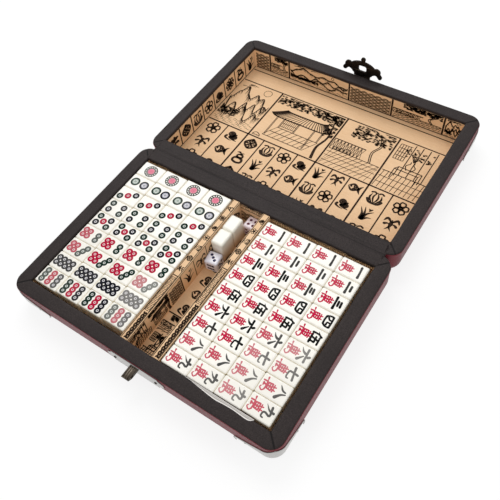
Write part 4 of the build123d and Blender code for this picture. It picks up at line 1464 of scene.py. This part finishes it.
# Strokes of the numerals and of their sign
bar = (1.2, 0.7, 1.3)
short_bar = (1.2, 0.8, 1.2)
sign = drawn(
    (7, thick, 28, 85, 52, 87, 78, 85), (7, thick, 40, 100, 44, 78), (7, thick, 64, 100, 62, 78),
    (8, thick, 28, 72, 32, 42), (8, thick, 28, 72, 74, 74), (8, thick, 74, 74, 70, 43),
    (6, thick, 30, 58, 71, 59), (7, thick, 30, 44, 71, 45), (9, thick, 51, 74, 52, 14),
    (9, thin, 2, 27, 30, 33), (8, thick, 28, 34, 30, 6), (8, thick, 28, 33, 60, 36, 84, 36),
    (8, (1, 1, 0.7), 82, 38, 98, 24, 84, 6, 72, 10), (6, thick, 52, 28, 42, 12, 64, 17))
numerals = [
    drawn((13, bar, 4, 46, 50, 52, 96, 54)),
    drawn((12, (1.2, 0.75, 1.2), 28, 76, 72, 80), (13, bar, 4, 20, 50, 24, 97, 27)),
    drawn((11, short_bar, 28, 84, 70, 92), (11, short_bar, 28, 50, 68, 56),
          (13, bar, 3, 13, 50, 17, 98, 20)),
    drawn((11, thick, 8, 84, 10, 45, 20, 14), (11, thick, 8, 84, 50, 88, 92, 86),
          (11, thick, 92, 86, 92, 45, 80, 14), (10, thick, 38, 84, 38, 56, 24, 38),
          (10, thick, 62, 85, 60, 50, 80, 46), (11, thick, 20, 14, 50, 10, 80, 14)),
    drawn((11, thin, 32, 100, 22, 72, 2, 50), (11, thick, 20, 68, 19, 34, 20, 0),
          (10, thick, 40, 88, 94, 92), (10, thick, 66, 88, 54, 8), (10, thick, 42, 52, 86, 56),
          (10, thick, 86, 56, 82, 8), (11, thick, 32, 6, 100, 8)),
    drawn((12, thick, 47, 102, 56, 84), (11, (1.2, 0.75, 1.2), 4, 64, 50, 69, 96, 73),
          (12, thin, 38, 52, 28, 26, 5, 4), (12, (0.5, 0.9, 1.3), 58, 50, 76, 28, 94, 6)),
    drawn((12, (1.2, 0.8, 1.1), 4, 50, 50, 62, 96, 76),
          (12, (1.1, 1.0, 0.6), 46, 102, 42, 40, 46, 12, 78, 7, 94, 14, 94, 32)),
    drawn((12, (0.7, 1.2, 0.15), 38, 84, 32, 46, 4, 6), (13, (0.5, 0.9, 1.4), 50, 94, 64, 50, 96, 6)),
    drawn((12, thin, 42, 102, 37, 52, 5, 3),
          (12, (1.1, 1.0, 0.7), 10, 66, 68, 78, 60, 30, 66, 8, 92, 7, 97, 30))]
# Where each numeral's middle lies on its tile, its width and its height
numeral_sizes = [(6.1, 10.4, 8.0), (5.6, 10.4, 5.6), (4.9, 10.6, 6.2), (5.8, 10.8, 7.0),
                 (4.7, 10.8, 7.2), (4.7, 11.0, 8.0), (4.9, 10.2, 7.2), (5.7, 10.6, 6.6),
                 (5.1, 10.4, 7.2)]


def add_glyph(pen, strokes, u, v, wide, high, paint, weight):
    """A brush-written mark on a tile, its top towards +u and its middle at u, v."""
    for width, press, points in strokes:
        spots = [(u + (b - 0.5) * high, v - (a - 0.5) * wide) for a, b in points]
        pen.stroke(spots, width * wide * weight, press, paint=paint)


rows = []
for rank, numeral, (middle, wide, tall), fades in zip(ranks, numerals, numeral_sizes, character_fades):
    low, high = node_box(f"character_tiles_{rank}")
    pen = tile_pen(low.x, low.y, high.z)
    add_glyph(pen, sign, -4.4, 0.2, 10.6, 10.8, sign_red, 1.2)
    add_glyph(pen, numeral, middle, 0.2, wide, tall, black, 1.25)
    rows.append(tile_row(f"character_row_{rank}", pen, (low, high), fades))
belong(join_pieces("character_marks", rows), "right_upper_layer", "tile_resin")


# Lower layers
# Out of sight at rest: bamboo sticks under the circles; winds, dragons and flowers under the
# numerals, all painted like the marks above them.

low_lift = 0.03
low_fades = circle_fades[2]
threes = (4, 0, -4)
stick_places = {
    2: grid_of((4.5, -4.5), (0,)), 3: [(4.5, 0), (-4.5, 3), (-4.5, -3)],
    4: grid_of((4.5, -4.5), (3, -3)), 5: grid_of((4.5, -4.5), (3.6, -3.6)) + [(0, 0)],
    6: grid_of((4.5, -4.5), threes), 7: [(6.3, 0)] + grid_of((0, -6.3), threes),
    8: grid_of((4.5, -4.5), (5.1, 1.7, -1.7, -5.1)), 9: grid_of((6.3, 0, -6.3), threes)}
red_sticks = {5: [(0, 0)], 7: [(6.3, 0)], 9: grid_of((0,), threes)}
honours = {
    "east": drawn((9, thick, 10, 82, 90, 84), (9, thick, 26, 66, 26, 36), (9, thick, 26, 66, 76, 67),
                  (9, thick, 76, 67, 75, 36), (8, thick, 26, 51, 75, 52), (8, thick, 26, 37, 75, 38),
                  (10, thick, 50, 100, 50, 0), (10, thin, 48, 36, 30, 16, 5, 4),
                  (10, thick, 52, 36, 72, 16, 97, 4)),
    "south": drawn((9, thick, 12, 86, 88, 88), (9, thick, 50, 100, 50, 72), (9, thick, 16, 70, 16, 2),
                   (9, thick, 16, 70, 85, 71), (9, thick, 85, 71, 85, 6, 74, 8),
                   (7, thick, 36, 60, 42, 50), (7, thick, 64, 61, 58, 50), (7, thick, 30, 44, 70, 45),
                   (7, thick, 28, 27, 72, 28), (8, thick, 50, 46, 50, 6)),
    "west": drawn((9, thick, 8, 90, 92, 92), (9, thick, 14, 64, 16, 6), (9, thick, 14, 64, 86, 65),
                  (9, thick, 86, 65, 84, 6), (9, thick, 16, 10, 84, 11),
                  (8, thin, 40, 90, 38, 45, 24, 28), (8, thick, 60, 90, 60, 40, 78, 36)),
    "north": drawn((10, thick, 36, 98, 36, 4), (9, thick, 6, 66, 34, 68), (9, thick, 2, 22, 36, 36),
                   (9, thin, 90, 74, 78, 60, 62, 54), (10, thick, 60, 98, 60, 16, 72, 8, 96, 10, 96, 28)),
    "red": drawn((10, thick, 14, 74, 14, 40), (10, thick, 14, 74, 86, 75), (10, thick, 86, 75, 86, 40),
                 (10, thick, 14, 42, 86, 43), (12, thick, 50, 102, 50, 0)),
    "green": drawn((8, thin, 30, 96, 22, 82, 4, 70), (7, thick, 12, 90, 30, 76),
                   (8, thin, 62, 98, 74, 80, 98, 66), (7, thick, 86, 90, 70, 78),
                   (8, thick, 20, 58, 46, 60, 44, 42, 18, 40, 18, 24, 44, 24, 40, 2),
                   (8, thin, 62, 62, 60, 46, 50, 38), (8, thick, 62, 62, 84, 62, 84, 44, 98, 42),
                   (8, thick, 54, 32, 88, 32, 60, 2), (9, thick, 58, 26, 78, 10, 98, 2)),
    "white": drawn((8, even, 10, 5, 90, 5), (8, even, 90, 5, 90, 95), (8, even, 90, 95, 10, 95),
                   (8, even, 10, 95, 10, 5)),
    0: emblems[0], 6: emblems[6]}
honour_paint = {"red": sign_red, "green": green, "white": navy, 0: sign_red, 6: green}


def lower_rows(node, count, block):
    """Pens on the first tiles of a lower node's rows, from the front, and the block's box."""
    low, high = node_box(node)
    box = node_box(block)
    step = (box[1].y - box[0].y - tile_wide) / (tile_columns - 1)
    pitch = (high.y - low.y - tile_wide - step * (tile_columns - 1)) / max(count - 1, 1)
    return [tile_pen(low.x, low.y + pitch * row, high.z, low_lift, 0.0) for row in range(count)], box


rows = []
pens, box = lower_rows("bamboo_tiles", 9, "circle_tiles_9")
for rank, pen in zip(reversed(ranks), pens):
    if rank == 1:
        add_glyph(pen, emblems[1], 0, 0, 10.5, 14.0, green, 1.1)
    else:
        lengths = {u for u, v in stick_places[rank]}
        half = 2.9 if len(lengths) > 2 else 3.9
        for u, v in stick_places[rank]:
            paint = crimson if (u, v) in red_sticks.get(rank, ()) else green
            for middle in (u - half / 2, u + half / 2):
                pen.stroke([(middle - half * 0.36, v), (middle + half * 0.36, v)], 1.7,
                           (1.25, 0.8, 1.25), 1, paint=paint)
    rows.append(tile_row(f"bamboo_row_{rank}", pen, box, low_fades))
belong(join_pieces("left_lower_marks", rows), "left_lower_layer", "tile_resin")

rows = []
for node, names in (("wind_tiles", ("east", "south", "west", "north")),
                    ("dragon_tiles", ("red", "green", "white")),
                    ("flower_tiles", (0, 6))):
    pens, box = lower_rows(node, len(names), "character_tiles_9")
    for pen, name in zip(pens, names):
        add_glyph(pen, honours[name], 0, 0, 10.5, 13.0, honour_paint.get(name, black), 1.2)
        rows.append(tile_row(f"{node}_{name}", pen, box, low_fades))
belong(join_pieces("right_lower_marks", rows), "right_lower_layer", "tile_resin")


# Dice
# Two small dice with rounded edges: a lilac-white one with dark blue pips and a pinkish one
# with maroon pips. The pips are drilled hollows, and opposite faces add up to seven.

die_side = 11.8
pip_reach = 2.15
pip_radius = 1.25
pip_depth = 0.45
pip_places = {1: [(0, 0)], 2: [(-1, 1), (1, -1)], 3: [(-1, 1), (0, 0), (1, -1)],
              4: grid_of((-1, 1), (-1, 1)), 5: grid_of((-1, 1), (-1, 1)) + [(0, 0)],
              6: [(u, v) for v in (-1, 1) for u in (-1, 0, 1)]}


def add_die(node, body, turn, name, low, high, paint, numbers):
    """A die in place of its CAD node; its numbers face up, to the front and right."""
    finish, shader, _, mask = mottled(name, high, 0.25, 120.0, 900.0, 0.3, Coat_Weight=0.4)
    inside = narrow(add_node(shader, "Attribute", attribute_name="pip").outputs["Fac"], -0.04, 0.04)
    feed(shader, Base_Color=colour_mix(inside, tone_ramp(mask, low, high), (*paint, 1.0)))
    pips = []
    for (axis, sign), number in zip(((2, 1), (1, -1), (0, 1)), numbers):
        for facing, count in ((sign, number), (-sign, 7 - number)):
            pips += [(axis, facing, u * pip_reach, v * pip_reach, pip_radius, pip_depth)
                     for u, v in pip_places[count]]
    start, end = node_box(node)
    piece = rounded_block(f"{node}_drilled", (start + end) / 2, (die_side,) * 3, 1.7, finish, 48, turn,
                          pips)
    belong(piece, body, name, node)


add_die("front_die", "near_die", 8.0, "die_lilac", (0.80, 0.80, 0.92), (0.89, 0.89, 0.97),
        (0.006, 0.007, 0.07), (3, 6, 5))
add_die("back_die", "far_die", -1.0, "die_pink", (0.96, 0.80, 0.86), (0.98, 0.88, 0.92),
        (0.12, 0.004, 0.03), (4, 5, 1))
